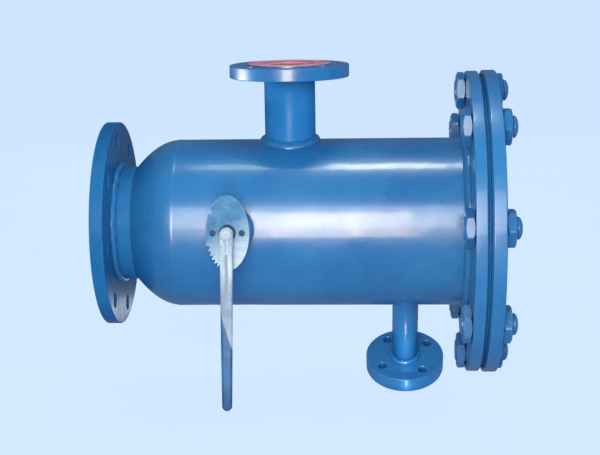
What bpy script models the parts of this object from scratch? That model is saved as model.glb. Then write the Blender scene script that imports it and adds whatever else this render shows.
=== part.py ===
"""Flanged back-flushing basket strainer with a lever-turned diverter.

Frame: metres, +Z up. The origin is the centre of the inlet flange's face.
+X runs along the body from the inlet to the blind cover, +Z is the axis of
the outlet nozzle, and -Y is the side that carries the hand lever.
"""
import math

import bmesh
import bpy
from mathutils import Matrix, Vector

MM = 0.001
GAP = 0.3                       # clearance between touching neighbours

# ---------------------------------------------------------------- dimensions
# All in millimetres.
SEG_BIG = 40                    # facets round the body-size turnings
SEG_MID = 28
SEG_SMALL = 20
SEG_BOLT = 12
SEG_HOLE = 10

SHELL_R = 117.0                 # body shell, outside radius
SHELL_WALL = 7.0
SHELL_X0, SHELL_X1 = 106.5, 514.5

NECK_R = 79.5                   # inlet pipe neck
NECK_WALL = 6.0
NECK_X0, NECK_X1 = 3.5, 45.0

INLET_R, INLET_T = 142.5, 20.0
INLET_PCR, INLET_HOLE_R, INLET_HOLES = 120.0, 11.0, 8
INLET_CLOCK = -6.0              # degrees from the lever side
INLET_FACE_R, INLET_FACE_T = 106.0, 2.0

FLANGE_R, COVER_R = 209.0, 210.0
FLANGE_X0, FLANGE_X1 = 504.0, 519.5
FACE_R, FACE_T = 205.0, 1.5     # wide faces that clamp the full-face gasket
GASKET_T = 2.9
COVER_X0, COVER_X1 = 526.0, 543.5
BOLT_PCR, BOLT_N, BOLT_CLOCK = 182.0, 8, 8.4
STUD_R, STUD_X0, STUD_X1 = 15.0, 490.1, 564.5
BOLT_HOLE_R = 16.6
NUT_AC_R, NUT_T = 26.3, 11.7    # half the distance across corners

OUT_X = 261.5                   # outlet nozzle
OUT_R, OUT_WALL = 35.2, 5.0
OUT_TOP, OUT_T, OUT_FLANGE_R = 223.5, 19.0, 82.5
OUT_FACE_R, OUT_FACE_T = 57.0, 2.0
OUT_PCR, OUT_HOLE_R, OUT_HOLES = 67.5, 8.0, 4

DRAIN_X, DRAIN_LEAN = 422.5, 24.0
DRAIN_R, DRAIN_WALL = 19.0, 4.0
DRAIN_BACK, DRAIN_T, DRAIN_FLANGE_R = 247.0, 25.0, 58.0
DRAIN_FACE_R, DRAIN_FACE_T = 34.0, 2.0
DRAIN_PCR, DRAIN_HOLE_R, DRAIN_HOLES, DRAIN_CLOCK = 42.5, 6.5, 4, 53.0

SPINDLE_X, SPINDLE_RISE = 186.5, 6.0
SPINDLE_R = 8.0
BOSS_R, BOSS_TOP = 26.0, 149.0
PACK_R, PACK_Z0, PACK_Z1 = 15.0, 127.0, 137.0
PLATE_A, PLATE_B, PLATE_T = 28.5, 49.0, 4.0
PLATE_Z0 = BOSS_TOP + GAP
TOOTH_N, TOOTH_DEPTH = 7, 3.2
TOOTH_FROM, TOOTH_TO = 199.0, 259.0
SCREW_X = 19.0
LEVER_Z0, LEVER_Z1 = 161.0, 170.0
LEVER_HUB_R, LEVER_END_R = 8.8, 6.2
LEVER_DRIFT = -2.2               # the arm's centre line at its tip, towards the inlet
LEVER_SPLIT_TOP, LEVER_SPLIT_LOW = -112.0, -152.0
LEVER_TIP = -232.0
SQUARE_HALF = 4.5

SCREEN_RI, SCREEN_RO = 67.2, 69.7
SEAT_X0, SEAT_X1 = 166.5, 206.5
SEAT_RI, SEAT_RO = 63.0, 76.0
DISC_R, DISC_T, DISC_HUB_R = 62.4, 7.0, 13.5
PART_X0, PART_X1 = 108.5, 114.5
REAR_X0, REAR_X1 = 388.0, 394.0
SCREEN_X1 = 399.0

# ---------------------------------------------------------------- scene reset
for leftover in list(bpy.data.objects):
    bpy.data.objects.remove(leftover, do_unlink=True)

strainer = bpy.data.collections.new("back_flushing_strainer")
cutters = bpy.data.collections.new("cutters")
bpy.context.scene.collection.children.link(strainer)
bpy.context.scene.collection.children.link(cutters)


# ---------------------------------------------------------------- materials
def material(name, rgb, roughness, metallic):
    mat = bpy.data.materials.new(name)
    mat.use_nodes = True
    shader = mat.node_tree.nodes["Principled BSDF"]
    shader.inputs["Base Color"].default_value = (*rgb, 1.0)
    shader.inputs["Roughness"].default_value = roughness
    shader.inputs["Metallic"].default_value = metallic
    mat.diffuse_color = (*rgb, 1.0)
    return mat


def blue_paint(name, shade=1.0):
    return material(name, (0.035 * shade, 0.20 * shade, 0.47 * shade), 0.28, 0.0)


def steel(name, level=0.55, roughness=0.38):
    return material(name, (level, level, level * 1.03), roughness, 1.0)


# ---------------------------------------------------------------- placements
def along_x(x=0.0):
    """Local +Z becomes world +X, local zero sits at x."""
    return Matrix.Translation((x * MM, 0, 0)) @ Matrix.Rotation(math.pi / 2, 4, "Y")


def upright(x=0.0):
    return Matrix.Translation((x * MM, 0, 0))


# Local +Z leaves the body on the lever side and rises a little.
SPINDLE_FRAME = (Matrix.Translation((SPINDLE_X * MM, 0, 0))
                 @ Matrix.Rotation(math.radians(90.0 - SPINDLE_RISE), 4, "X"))
# Local +Z leaves the body downwards and leans to the far side.
DRAIN_FRAME = (Matrix.Translation((DRAIN_X * MM, 0, 0))
               @ Matrix.Rotation(math.radians(180.0 + DRAIN_LEAN), 4, "X"))


# ---------------------------------------------------------------- modelling
def add(name, mesh, mat, frame, collection=None):
    obj = bpy.data.objects.new(name, mesh)
    (collection or strainer).objects.link(obj)
    obj.matrix_world = frame
    if mat is not None:
        mesh.materials.clear()
        mesh.materials.append(mat)
    return obj


def smooth(mesh, angle=32.0):
    mesh.shade_smooth()
    mesh.set_sharp_from_angle(angle=math.radians(angle))


def turned(name, profile, mat, frame, segments, collection=None, closed=True):
    """A profile of (radius, height) in mm, outer side first from top to bottom,
    turned round local Z."""
    mesh = bpy.data.meshes.new(name)
    bm = bmesh.new()
    verts = [bm.verts.new((r * MM, 0.0, h * MM)) for r, h in profile]
    for a, b in zip(verts, verts[1:]):
        bm.edges.new((a, b))
    if closed:
        bm.edges.new((verts[-1], verts[0]))
    bm.to_mesh(mesh)
    bm.free()
    obj = add(name, mesh, mat, frame, collection)
    screw = obj.modifiers.new("turn", "SCREW")
    screw.axis = "Z"
    screw.angle = math.tau
    screw.steps = segments
    screw.render_steps = segments
    screw.use_merge_vertices = True
    screw.merge_threshold = 0.00001
    screw.use_smooth_shade = True
    return obj


def ring(r_out, r_in, h0, h1, chamfer=0.0):
    """Closed profile of a plain ring between heights h0 < h1."""
    if chamfer:
        return [(r_out - chamfer, h1), (r_out, h1 - chamfer),
                (r_out, h0 + chamfer), (r_out - chamfer, h0), (r_in, h0), (r_in, h1)]
    return [(r_out, h1), (r_out, h0), (r_in, h0), (r_in, h1)]


def rod(r, h0, h1, chamfer=0.0):
    """Open profile of a solid round bar."""
    if chamfer:
        return [(0, h1), (r - chamfer, h1), (r, h1 - chamfer), (r, h0 + chamfer),
                (r - chamfer, h0), (0, h0)]
    return [(0, h1), (r, h1), (r, h0), (0, h0)]


def cone_mesh(name, pieces):
    """Closed primitive bars: (radius_bottom, radius_top, h0, h1, segments, matrix)."""
    mesh = bpy.data.meshes.new(name)
    bm = bmesh.new()
    for r0, r1, h0, h1, segments, matrix in pieces:
        lift = Matrix.Translation((0, 0, (h0 + h1) / 2 * MM))
        bmesh.ops.create_cone(bm, cap_ends=True, cap_tris=False, segments=segments,
                              radius1=r0 * MM, radius2=r1 * MM, depth=(h1 - h0) * MM,
                              matrix=matrix @ lift)
    bm.to_mesh(mesh)
    bm.free()
    return mesh


def box_mesh(name, low, high, matrix=Matrix.Identity(4)):
    mesh = bpy.data.meshes.new(name)
    bm = bmesh.new()
    size = [(b - a) * MM for a, b in zip(low, high)]
    centre = [(a + b) / 2 * MM for a, b in zip(low, high)]
    bmesh.ops.create_cube(bm, size=1.0, matrix=matrix @ Matrix.Translation(centre)
                          @ Matrix.Diagonal((*size, 1.0)))
    bm.to_mesh(mesh)
    bm.free()
    return mesh


def cutter(name, mesh, frame):
    obj = add(name, mesh, None, frame, cutters)
    obj.hide_render = True
    obj.display_type = "WIRE"
    return obj


def combine(obj, other, operation="DIFFERENCE"):
    mod = obj.modifiers.new(other.name, "BOOLEAN")
    mod.object = other
    mod.operation = operation
    mod.solver = "EXACT"
    return mod


def bolt_circle(name, count, pcr, radius, h0, h1, clock, frame, segments=SEG_HOLE):
    """One cutter holding a circle of plain round holes."""
    pieces = []
    for i in range(count):
        turn = Matrix.Rotation(math.radians(clock + 360.0 * i / count), 4, "Z")
        pieces.append((radius, radius, h0, h1, segments,
                       turn @ Matrix.Translation((pcr * MM, 0, 0))))
    return cutter(name, cone_mesh(name, pieces), frame)


def outline_plate(name, points, z0, z1, mat, frame, hidden=False):
    """A flat piece: a closed 2-D outline in mm, extruded from z0 to z1."""
    curve = bpy.data.curves.new(name + "_outline", "CURVE")
    curve.dimensions = "2D"
    curve.fill_mode = "BOTH"
    curve.extrude = (z1 - z0) / 2 * MM
    spline = curve.splines.new("POLY")
    spline.points.add(len(points) - 1)
    for p, (x, y) in zip(spline.points, points):
        p.co = (x * MM, y * MM, 0.0, 1.0)
    spline.use_cyclic_u = True
    guide = bpy.data.objects.new(name + "_outline", curve)
    strainer.objects.link(guide)
    guide.matrix_world = frame @ Matrix.Translation((0, 0, (z0 + z1) / 2 * MM))
    bpy.context.view_layer.update()
    depsgraph = bpy.context.evaluated_depsgraph_get()
    mesh = bpy.data.meshes.new_from_object(guide.evaluated_get(depsgraph))
    mesh.name = name
    bm = bmesh.new()
    bm.from_mesh(mesh)
    bmesh.ops.remove_doubles(bm, verts=bm.verts, dist=1e-6)
    bmesh.ops.dissolve_limit(bm, angle_limit=0.001, verts=bm.verts, edges=bm.edges)
    bmesh.ops.recalc_face_normals(bm, faces=bm.faces)
    bm.to_mesh(mesh)
    bm.free()
    place = guide.matrix_world.copy()
    bpy.data.objects.remove(guide, do_unlink=True)
    bpy.data.curves.remove(curve)
    return add(name, mesh, mat, place, cutters if hidden else None)


# The outside of the body, as a cutter for everything that is set on it.
body_outside = turned("body_outside", rod(SHELL_R + GAP, SHELL_X0 - 40, SHELL_X1 + 40),
                      None, along_x(), SEG_BIG, cutters, closed=False)
body_outside.hide_render = True
body_outside.display_type = "WIRE"

# ---------------------------------------------------------------- inlet end
inlet_flange = turned(
    "inlet_flange",
    [(INLET_R, INLET_T), (INLET_R, INLET_FACE_T), (INLET_FACE_R, INLET_FACE_T),
     (INLET_FACE_R, 0.0),
     (NECK_R + GAP, 0.0), (NECK_R + GAP, INLET_T)],
    blue_paint("inlet_flange_paint"), along_x(), SEG_BIG)
combine(inlet_flange, bolt_circle("inlet_bolt_holes", INLET_HOLES, INLET_PCR, INLET_HOLE_R,
                                  -5, INLET_T + 5, -90.0 - INLET_CLOCK, along_x()))


def dome_radius(x):
    """Outside radius of the domed reducer between the neck and the shell."""
    u = (x - NECK_X1) / (SHELL_X0 - NECK_X1)
    return NECK_R + (SHELL_R - NECK_R) * (1.0 - (1.0 - u) ** 2)


def dome_slope(x):
    u = (x - NECK_X1) / (SHELL_X0 - NECK_X1)
    return (SHELL_R - NECK_R) * 2.0 * (1.0 - u) / (SHELL_X0 - NECK_X1)


DOME_STEPS = 6
dome_xs = [NECK_X1 + (SHELL_X0 - GAP - NECK_X1) * i / DOME_STEPS for i in range(DOME_STEPS + 1)]
outer = [(dome_radius(x), x) for x in dome_xs]
inner = []
for x in dome_xs[1:-1]:
    angle = math.atan(dome_slope(x))
    inner.append((dome_radius(x) - SHELL_WALL * math.cos(angle),
                  x + SHELL_WALL * math.sin(angle)))
inner_end = (SHELL_R - SHELL_WALL, SHELL_X0 - GAP)
inner = [p for p in inner if p[1] < inner_end[1] - 2.0]
reducer_profile = ([p for p in reversed(outer)] + [(NECK_R, NECK_X0)]
                   + [(NECK_R - NECK_WALL, NECK_X0), (NECK_R - NECK_WALL, NECK_X1 + 5.0)]
                   + inner + [inner_end])
turned("inlet_reducer", reducer_profile, blue_paint("inlet_reducer_paint"),
       along_x(), SEG_BIG)

# ---------------------------------------------------------------- shell
shell = turned("body_shell", ring(SHELL_R, SHELL_R - SHELL_WALL, SHELL_X0, SHELL_X1),
               blue_paint("body_shell_paint"), along_x(), SEG_BIG)
combine(shell, cutter("outlet_port", cone_mesh("outlet_port", [
    (OUT_R - OUT_WALL, OUT_R - OUT_WALL, 60, 160, SEG_MID, Matrix.Identity(4))]),
    upright(OUT_X)))
combine(shell, cutter("drain_port", cone_mesh("drain_port", [
    (DRAIN_R - DRAIN_WALL, DRAIN_R - DRAIN_WALL, 60, 160, SEG_SMALL, Matrix.Identity(4))]),
    DRAIN_FRAME))
combine(shell, cutter("spindle_port", cone_mesh("spindle_port", [
    (PACK_R, PACK_R, 60, 160, SEG_SMALL, Matrix.Identity(4))]), SPINDLE_FRAME))

# ---------------------------------------------------------------- outlet nozzle
outlet_pipe = turned("outlet_pipe", ring(OUT_R, OUT_R - OUT_WALL, 90, OUT_TOP - 3.5),
                     blue_paint("outlet_pipe_paint"), upright(OUT_X), SEG_MID)
combine(outlet_pipe, body_outside)
outlet_flange = turned(
    "outlet_flange",
    [(OUT_FACE_R, OUT_TOP), (OUT_FACE_R, OUT_TOP - OUT_FACE_T),
     (OUT_FLANGE_R, OUT_TOP - OUT_FACE_T), (OUT_FLANGE_R, OUT_TOP - OUT_T),
     (OUT_R + GAP, OUT_TOP - OUT_T), (OUT_R + GAP, OUT_TOP)],
    blue_paint("outlet_flange_paint"), upright(OUT_X), SEG_MID)
combine(outlet_flange, bolt_circle("outlet_bolt_holes", OUT_HOLES, OUT_PCR, OUT_HOLE_R,
                                   OUT_TOP - OUT_T - 5, OUT_TOP + 5, 45.0, upright(OUT_X)))

# ---------------------------------------------------------------- drain nozzle
drain_pipe = turned("drain_pipe",
                    ring(DRAIN_R, DRAIN_R - DRAIN_WALL, 95, DRAIN_BACK + DRAIN_T - 3.0),
                    blue_paint("drain_pipe_paint"), DRAIN_FRAME, SEG_SMALL)
combine(drain_pipe, body_outside)
DRAIN_END = DRAIN_BACK + DRAIN_T
drain_flange = turned(
    "drain_flange",
    [(DRAIN_FACE_R, DRAIN_END), (DRAIN_FACE_R, DRAIN_END - DRAIN_FACE_T),
     (DRAIN_FLANGE_R, DRAIN_END - DRAIN_FACE_T), (DRAIN_FLANGE_R, DRAIN_BACK),
     (DRAIN_R + GAP, DRAIN_BACK), (DRAIN_R + GAP, DRAIN_END)],
    blue_paint("drain_flange_paint"), DRAIN_FRAME, SEG_SMALL)
combine(drain_flange, bolt_circle("drain_bolt_holes", DRAIN_HOLES, DRAIN_PCR, DRAIN_HOLE_R,
                                  DRAIN_BACK - 5, DRAIN_END + 5, DRAIN_CLOCK, DRAIN_FRAME))

# ---------------------------------------------------------------- cover end
body_flange = turned(
    "body_flange",
    [(FACE_R, FLANGE_X1 + FACE_T), (FACE_R, FLANGE_X1), (FLANGE_R, FLANGE_X1),
     (FLANGE_R, FLANGE_X0),
     (SHELL_R + GAP, FLANGE_X0), (SHELL_R + GAP, FLANGE_X1 + FACE_T)],
    blue_paint("body_flange_paint"), along_x(), SEG_BIG)
combine(body_flange, bolt_circle("body_flange_bolt_holes", BOLT_N, BOLT_PCR, BOLT_HOLE_R,
                                 FLANGE_X0 - 5, FLANGE_X1 + 5, -90.0 - BOLT_CLOCK, along_x()))

GASKET_X0 = FLANGE_X1 + FACE_T + GAP
gasket = turned("cover_gasket", ring(FACE_R - 2.0, SHELL_R, GASKET_X0, GASKET_X0 + GASKET_T),
                material("cover_gasket_sheet", (0.03, 0.03, 0.035), 0.8, 0.0), along_x(), SEG_BIG)
combine(gasket, bolt_circle("gasket_bolt_holes", BOLT_N, BOLT_PCR, BOLT_HOLE_R,
                            GASKET_X0 - 5, GASKET_X0 + 5, -90.0 - BOLT_CLOCK, along_x()))

end_cover = turned(
    "end_cover",
    [(0, COVER_X1), (COVER_R, COVER_X1), (COVER_R, COVER_X0), (FACE_R, COVER_X0),
     (FACE_R, COVER_X0 - FACE_T), (0, COVER_X0 - FACE_T)],
    blue_paint("end_cover_paint"), along_x(), SEG_BIG, closed=False)
combine(end_cover, bolt_circle("cover_bolt_holes", BOLT_N, BOLT_PCR, BOLT_HOLE_R,
                               COVER_X0 - 5, COVER_X1 + 5, -90.0 - BOLT_CLOCK, along_x()))

# Studs with a nut on each side. The first is nearest the lever side.
nut_bore = cone_mesh("nut_bore", [(STUD_R + GAP, STUD_R + GAP, -30, 30, SEG_BOLT,
                                   Matrix.Identity(4))])
nut_blank = cone_mesh("nut_blank", [(NUT_AC_R, NUT_AC_R, 0, NUT_T, 6, Matrix.Identity(4))])
stud_paint = blue_paint("stud_paint", 0.85)
nut_paint = blue_paint("nut_paint", 0.9)
STUD_DOME = 7.0
stud_profile = [(0, STUD_X1), (STUD_R * 0.5, STUD_X1 - 0.8), (STUD_R * 0.83, STUD_X1 - 3.2),
                (STUD_R, STUD_X1 - STUD_DOME), (STUD_R, STUD_X0 + 1.2),
                (STUD_R - 1.5, STUD_X0), (0, STUD_X0)]
for i in range(BOLT_N):
    angle = BOLT_CLOCK + 360.0 * i / BOLT_N
    off = Matrix.Translation((0, -BOLT_PCR * math.cos(math.radians(angle)) * MM,
                              BOLT_PCR * math.sin(math.radians(angle)) * MM))
    turned(f"cover_stud_{i + 1}", stud_profile, stud_paint, off @ along_x(), SEG_BOLT,
           closed=False)
    for side, x0, turn in (("body", FLANGE_X0 - GAP - NUT_T, 18.0),
                           ("cover", COVER_X1 + GAP, 0.0)):
        seat = off @ Matrix.Translation((x0 * MM, 0, 0)) @ along_x()
        nut = add(f"{side}_nut_{i + 1}", nut_blank.copy(), nut_paint,
                  seat @ Matrix.Rotation(math.radians(turn), 4, "Z"))
        combine(nut, cutter(f"{side}_nut_{i + 1}_bore", nut_bore, seat))

# ---------------------------------------------------------------- spindle boss
boss = turned("spindle_boss",
              [(BOSS_R - 1.0, BOSS_TOP), (BOSS_R, BOSS_TOP - 1.0), (BOSS_R, 95),
               (PACK_R + 2, 95), (SPINDLE_R + GAP, 118.5), (SPINDLE_R + GAP, PACK_Z0),
               (PACK_R, PACK_Z0), (PACK_R, BOSS_TOP)],
              blue_paint("spindle_boss_paint"), SPINDLE_FRAME, SEG_SMALL)
combine(boss, body_outside)
combine(boss, cutter("index_screw_holes", cone_mesh("index_screw_holes", [
    (3.1, 3.1, BOSS_TOP - 14, BOSS_TOP + 10, SEG_HOLE,
     Matrix.Translation((s * SCREW_X * MM, 0, 0))) for s in (-1, 1)]), SPINDLE_FRAME))

turned("gland_packing", ring(PACK_R - GAP, SPINDLE_R + GAP, PACK_Z0 + GAP, PACK_Z1),
       material("gland_packing_graphite", (0.05, 0.05, 0.05), 0.7, 0.0),
       SPINDLE_FRAME, SEG_SMALL)
turned("gland_nut", ring(PACK_R - GAP, SPINDLE_R + GAP, PACK_Z1 + GAP, BOSS_TOP - 0.5),
       material("gland_nut_brass", (0.72, 0.52, 0.22), 0.35, 1.0), SPINDLE_FRAME, SEG_SMALL)


# ---------------------------------------------------------------- index plate
def plate_outline():
    """Oval plate whose lower inlet-side edge is cut into ratchet teeth."""
    points = []
    steps = 40
    for i in range(steps):
        deg = 360.0 * i / steps
        if TOOTH_FROM - 4 < deg < TOOTH_TO + 4:
            continue
        points.append((deg, 0.0))
    for k in range(TOOTH_N + 1):
        deg = TOOTH_FROM + (TOOTH_TO - TOOTH_FROM) * k / TOOTH_N
        points.append((deg, 0.6))
        if k < TOOTH_N:
            points.append((deg + (TOOTH_TO - TOOTH_FROM) / TOOTH_N * 0.5, -TOOTH_DEPTH))
    points.sort()
    out = []
    for deg, push in points:
        a = math.radians(deg)
        out.append(((PLATE_A + push) * math.cos(a), (PLATE_B + push) * math.sin(a)))
    return out


plate = outline_plate("index_plate", plate_outline(), PLATE_Z0, PLATE_Z0 + PLATE_T,
                      steel("index_plate_zinc", 0.75, 0.3), SPINDLE_FRAME)
combine(plate, cutter("index_plate_holes", cone_mesh("index_plate_holes", [
    (12.0, 12.0, PLATE_Z0 - 4, PLATE_Z0 + PLATE_T + 4, SEG_SMALL, Matrix.Identity(4)),
    (3.2, 3.2, PLATE_Z0 - 4, PLATE_Z0 + PLATE_T + 4, SEG_HOLE,
     Matrix.Translation((-SCREW_X * MM, 0, 0))),
    (3.2, 3.2, PLATE_Z0 - 4, PLATE_Z0 + PLATE_T + 4, SEG_HOLE,
     Matrix.Translation((SCREW_X * MM, 0, 0))),
    (3.4, 3.4, PLATE_Z0 - 4, PLATE_Z0 + PLATE_T + 4, SEG_HOLE,
     Matrix.Translation((-24.6 * MM, 27.5 * MM, 0)))]), SPINDLE_FRAME))

HEAD_Z = PLATE_Z0 + PLATE_T + GAP
for i, s in ((1, -1), (2, 1)):
    turned(f"index_screw_{i}",
           [(0, HEAD_Z + 3.8), (4.2, HEAD_Z + 3.8), (5.0, HEAD_Z + 3.0), (5.0, HEAD_Z),
            (2.8, HEAD_Z), (2.8, BOSS_TOP - 12), (0, BOSS_TOP - 12)],
           steel(f"index_screw_{i}_steel", 0.12, 0.4),
           SPINDLE_FRAME @ Matrix.Translation((s * SCREW_X * MM, 0, 0)), SEG_HOLE,
           closed=False)

# ---------------------------------------------------------------- moving parts
spindle_axis = bpy.data.objects.new("spindle_axis", None)
spindle_axis.empty_display_size = 0.05
strainer.objects.link(spindle_axis)
spindle_axis.matrix_world = SPINDLE_FRAME
bpy.context.view_layer.update()


def turns_with_spindle(obj):
    place = obj.matrix_world.copy()
    obj.parent = spindle_axis
    obj.matrix_parent_inverse = spindle_axis.matrix_world.inverted()
    obj.matrix_world = place
    return obj


SPINDLE_TOP = LEVER_Z1 - 0.6
spindle = turned("spindle",
                 [(0, SPINDLE_TOP), (SQUARE_HALF * 1.4, SPINDLE_TOP),
                  (SQUARE_HALF * 1.4, 155.0), (SPINDLE_R, 153.5), (SPINDLE_R, -86.0),
                  (0, -86.0)],
                 steel("spindle_stainless", 0.6, 0.25), SPINDLE_FRAME, SEG_SMALL,
                 closed=False)
flats = cutter("spindle_flats", box_mesh("spindle_flats", (-20, -20, 155.2), (20, 20, 190)),
               SPINDLE_FRAME)
combine(flats, cutter("spindle_square", box_mesh(
    "spindle_square", (-SQUARE_HALF, -SQUARE_HALF, 150), (SQUARE_HALF, SQUARE_HALF, 200)),
    SPINDLE_FRAME))
combine(spindle, flats)
PIN_Z = 34.0
combine(spindle, cutter("spindle_cross_holes", cone_mesh("spindle_cross_holes", [
    (3.3, 3.3, -20, 20, SEG_HOLE,
     Matrix.Translation((0, 0, z * MM)) @ Matrix.Rotation(math.pi / 2, 4, "Y"))
    for z in (-PIN_Z, PIN_Z)] + [
    (2.8, 2.8, SPINDLE_TOP - 14, SPINDLE_TOP + 10, SEG_HOLE, Matrix.Identity(4))]),
    SPINDLE_FRAME))
turns_with_spindle(spindle)

disc = turned("diverter_disc", rod(DISC_R, -DISC_T / 2, DISC_T / 2),
              material("diverter_disc_bronze", (0.55, 0.38, 0.17), 0.4, 1.0),
              along_x(SPINDLE_X), SEG_BIG, closed=False)
disc_hub = cutter("disc_hub", cone_mesh("disc_hub", [
    (DISC_HUB_R, DISC_HUB_R, -59.0, 59.0, SEG_SMALL, Matrix.Identity(4))]), SPINDLE_FRAME)
combine(disc, disc_hub, "UNION")
combine(disc, cutter("disc_bore", cone_mesh("disc_bore", [
    (SPINDLE_R + GAP, SPINDLE_R + GAP, -70.0, 70.0, SEG_SMALL, Matrix.Identity(4))]),
    SPINDLE_FRAME))
combine(disc, cutter("disc_cross_holes", cone_mesh("disc_cross_holes", [
    (3.3, 3.3, -20, 20, SEG_HOLE,
     Matrix.Translation((0, 0, z * MM)) @ Matrix.Rotation(math.pi / 2, 4, "Y"))
    for z in (-PIN_Z, PIN_Z)]), SPINDLE_FRAME))
turns_with_spindle(disc)

for i, z in ((1, PIN_Z), (2, -PIN_Z)):
    turns_with_spindle(turned(
        f"disc_pin_{i}", rod(3.0, -14.5, 14.5, 0.6), steel(f"disc_pin_{i}_steel"),
        SPINDLE_FRAME @ Matrix.Translation((0, 0, z * MM))
        @ Matrix.Rotation(math.pi / 2, 4, "Y"), SEG_HOLE, closed=False))


# ---------------------------------------------------------------- hand lever
def lever_centre(y):
    return LEVER_DRIFT * y / LEVER_TIP


def bar_outline(y_top, y_low, r_top, r_low, round_top, round_low, arc=8):
    """A tapered bar down local -Y, each end round or square."""
    pts = []
    xt = lever_centre(y_top)
    if round_top:
        pts += [(xt + r_top * math.cos(math.pi * k / arc),
                 y_top + r_top * math.sin(math.pi * k / arc)) for k in range(arc + 1)]
    else:
        pts += [(xt + r_top, y_top), (xt - r_top, y_top)]
    if round_low:
        yc = y_low + r_low
        xc = lever_centre(yc)
        pts += [(xc - r_low * math.cos(math.pi * k / arc),
                 yc - r_low * math.sin(math.pi * k / arc)) for k in range(arc + 1)]
    else:
        xc = lever_centre(y_low)
        pts += [(xc - r_low, y_low), (xc + r_low, y_low)]
    return pts


def lever_half_width(y):
    return LEVER_HUB_R + (LEVER_END_R - LEVER_HUB_R) * min(1.0, y / LEVER_TIP)


lever_steel = material("hand_lever_silver", (0.78, 0.80, 0.84), 0.28, 0.6)
lever = outline_plate("hand_lever",
                      bar_outline(0, LEVER_SPLIT_LOW, LEVER_HUB_R,
                                  lever_half_width(LEVER_SPLIT_LOW), True, False),
                      LEVER_Z0, LEVER_Z1, lever_steel, SPINDLE_FRAME)
slope = Matrix.Translation((0, (LEVER_SPLIT_TOP + LEVER_SPLIT_LOW) / 2 * MM, 0))
slant = math.atan2(LEVER_SPLIT_LOW - LEVER_SPLIT_TOP, 2 * LEVER_END_R)
slope = slope @ Matrix.Rotation(slant, 4, "Z")
combine(lever, cutter("lever_slant", box_mesh("lever_slant", (-60, -60, 150), (60, 0.15, 180),
                                              slope), SPINDLE_FRAME))
CORE_X0, CORE_X1, CORE_Z0, CORE_Z1 = -5.0, 1.2, LEVER_Z0 + 2.2, LEVER_Z1 - 2.2
lever_core = cutter("lever_core", box_mesh(
    "lever_core", (CORE_X0, LEVER_TIP + 6.0, CORE_Z0),
    (CORE_X1, LEVER_SPLIT_TOP + 20, CORE_Z1)), SPINDLE_FRAME)
combine(lever, lever_core, "UNION")
lever_hub = cutter("lever_hub", cone_mesh("lever_hub", [
    (LEVER_HUB_R - 0.4, LEVER_HUB_R - 0.4, 155.6, LEVER_Z0 + 2, SEG_BOLT, Matrix.Identity(4))]),
    SPINDLE_FRAME)
combine(lever, lever_hub, "UNION")
combine(lever, cutter("lever_square", box_mesh(
    "lever_square", (-SQUARE_HALF - GAP, -SQUARE_HALF - GAP, 140),
    (SQUARE_HALF + GAP, SQUARE_HALF + GAP, 200)), SPINDLE_FRAME))
turns_with_spindle(lever)

grip = outline_plate("lever_grip",
                     bar_outline(LEVER_SPLIT_TOP + 1.0, LEVER_TIP,
                                 lever_half_width(LEVER_SPLIT_TOP), LEVER_END_R, False, True),
                     LEVER_Z0, LEVER_Z1, blue_paint("lever_grip_vinyl", 0.8), SPINDLE_FRAME)
combine(grip, cutter("grip_slant", box_mesh("grip_slant", (-60, -0.15, 150), (60, 60, 180),
                                            slope), SPINDLE_FRAME))
combine(grip, cutter("grip_socket", box_mesh(
    "grip_socket", (CORE_X0 - GAP, LEVER_TIP + 6.0 - GAP, CORE_Z0 - GAP),
    (CORE_X1 + GAP, LEVER_SPLIT_TOP + 40, CORE_Z1 + GAP)), SPINDLE_FRAME))
turns_with_spindle(grip)

turns_with_spindle(turned(
    "lever_screw",
    [(0, LEVER_Z1 + 4.2), (5.0, LEVER_Z1 + 4.2), (7.2, LEVER_Z1 + 2.6), (7.6, LEVER_Z1 + GAP),
     (2.5, LEVER_Z1 + GAP), (2.5, SPINDLE_TOP - 12), (0, SPINDLE_TOP - 12)],
    steel("lever_screw_steel", 0.7, 0.3), SPINDLE_FRAME, SEG_BOLT, closed=False))

# ---------------------------------------------------------------- diverter seat
seat = turned("diverter_seat",
              [(SEAT_RO, SEAT_X1 + 5), (SEAT_RO, SEAT_X0 - 5), (SCREEN_RO + GAP, SEAT_X0 - 5),
               (SCREEN_RO + GAP, SEAT_X0), (SEAT_RI, SEAT_X0), (SEAT_RI, SEAT_X1),
               (SCREEN_RO + GAP, SEAT_X1), (SCREEN_RO + GAP, SEAT_X1 + 5)],
              steel("diverter_seat_steel", 0.45, 0.45), along_x(), SEG_MID)
combine(seat, cutter("seat_bosses", cone_mesh("seat_bosses", [
    (15.0, 15.0, 70.0, 92.0, SEG_SMALL, Matrix.Identity(4)),
    (15.0, 15.0, -92.0, -70.0, SEG_SMALL, Matrix.Identity(4))]), SPINDLE_FRAME), "UNION")
BUSH_R = 11.0
combine(seat, cutter("seat_bush_bores", cone_mesh("seat_bush_bores", [
    (BUSH_R + GAP, BUSH_R + GAP, 50.0, 100.0, SEG_SMALL, Matrix.Identity(4)),
    (BUSH_R + GAP, BUSH_R + GAP, -88.0, -50.0, SEG_SMALL, Matrix.Identity(4))]),
    SPINDLE_FRAME))
bush_bronze = material("spindle_bush_bronze", (0.6, 0.42, 0.2), 0.4, 1.0)
turned("front_bush", ring(BUSH_R, SPINDLE_R + GAP, 65.0, 92.0), bush_bronze,
       SPINDLE_FRAME, SEG_SMALL)
turned("rear_bush", ring(BUSH_R, SPINDLE_R + GAP, -87.5, -65.0), bush_bronze,
       SPINDLE_FRAME, SEG_SMALL)

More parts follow.
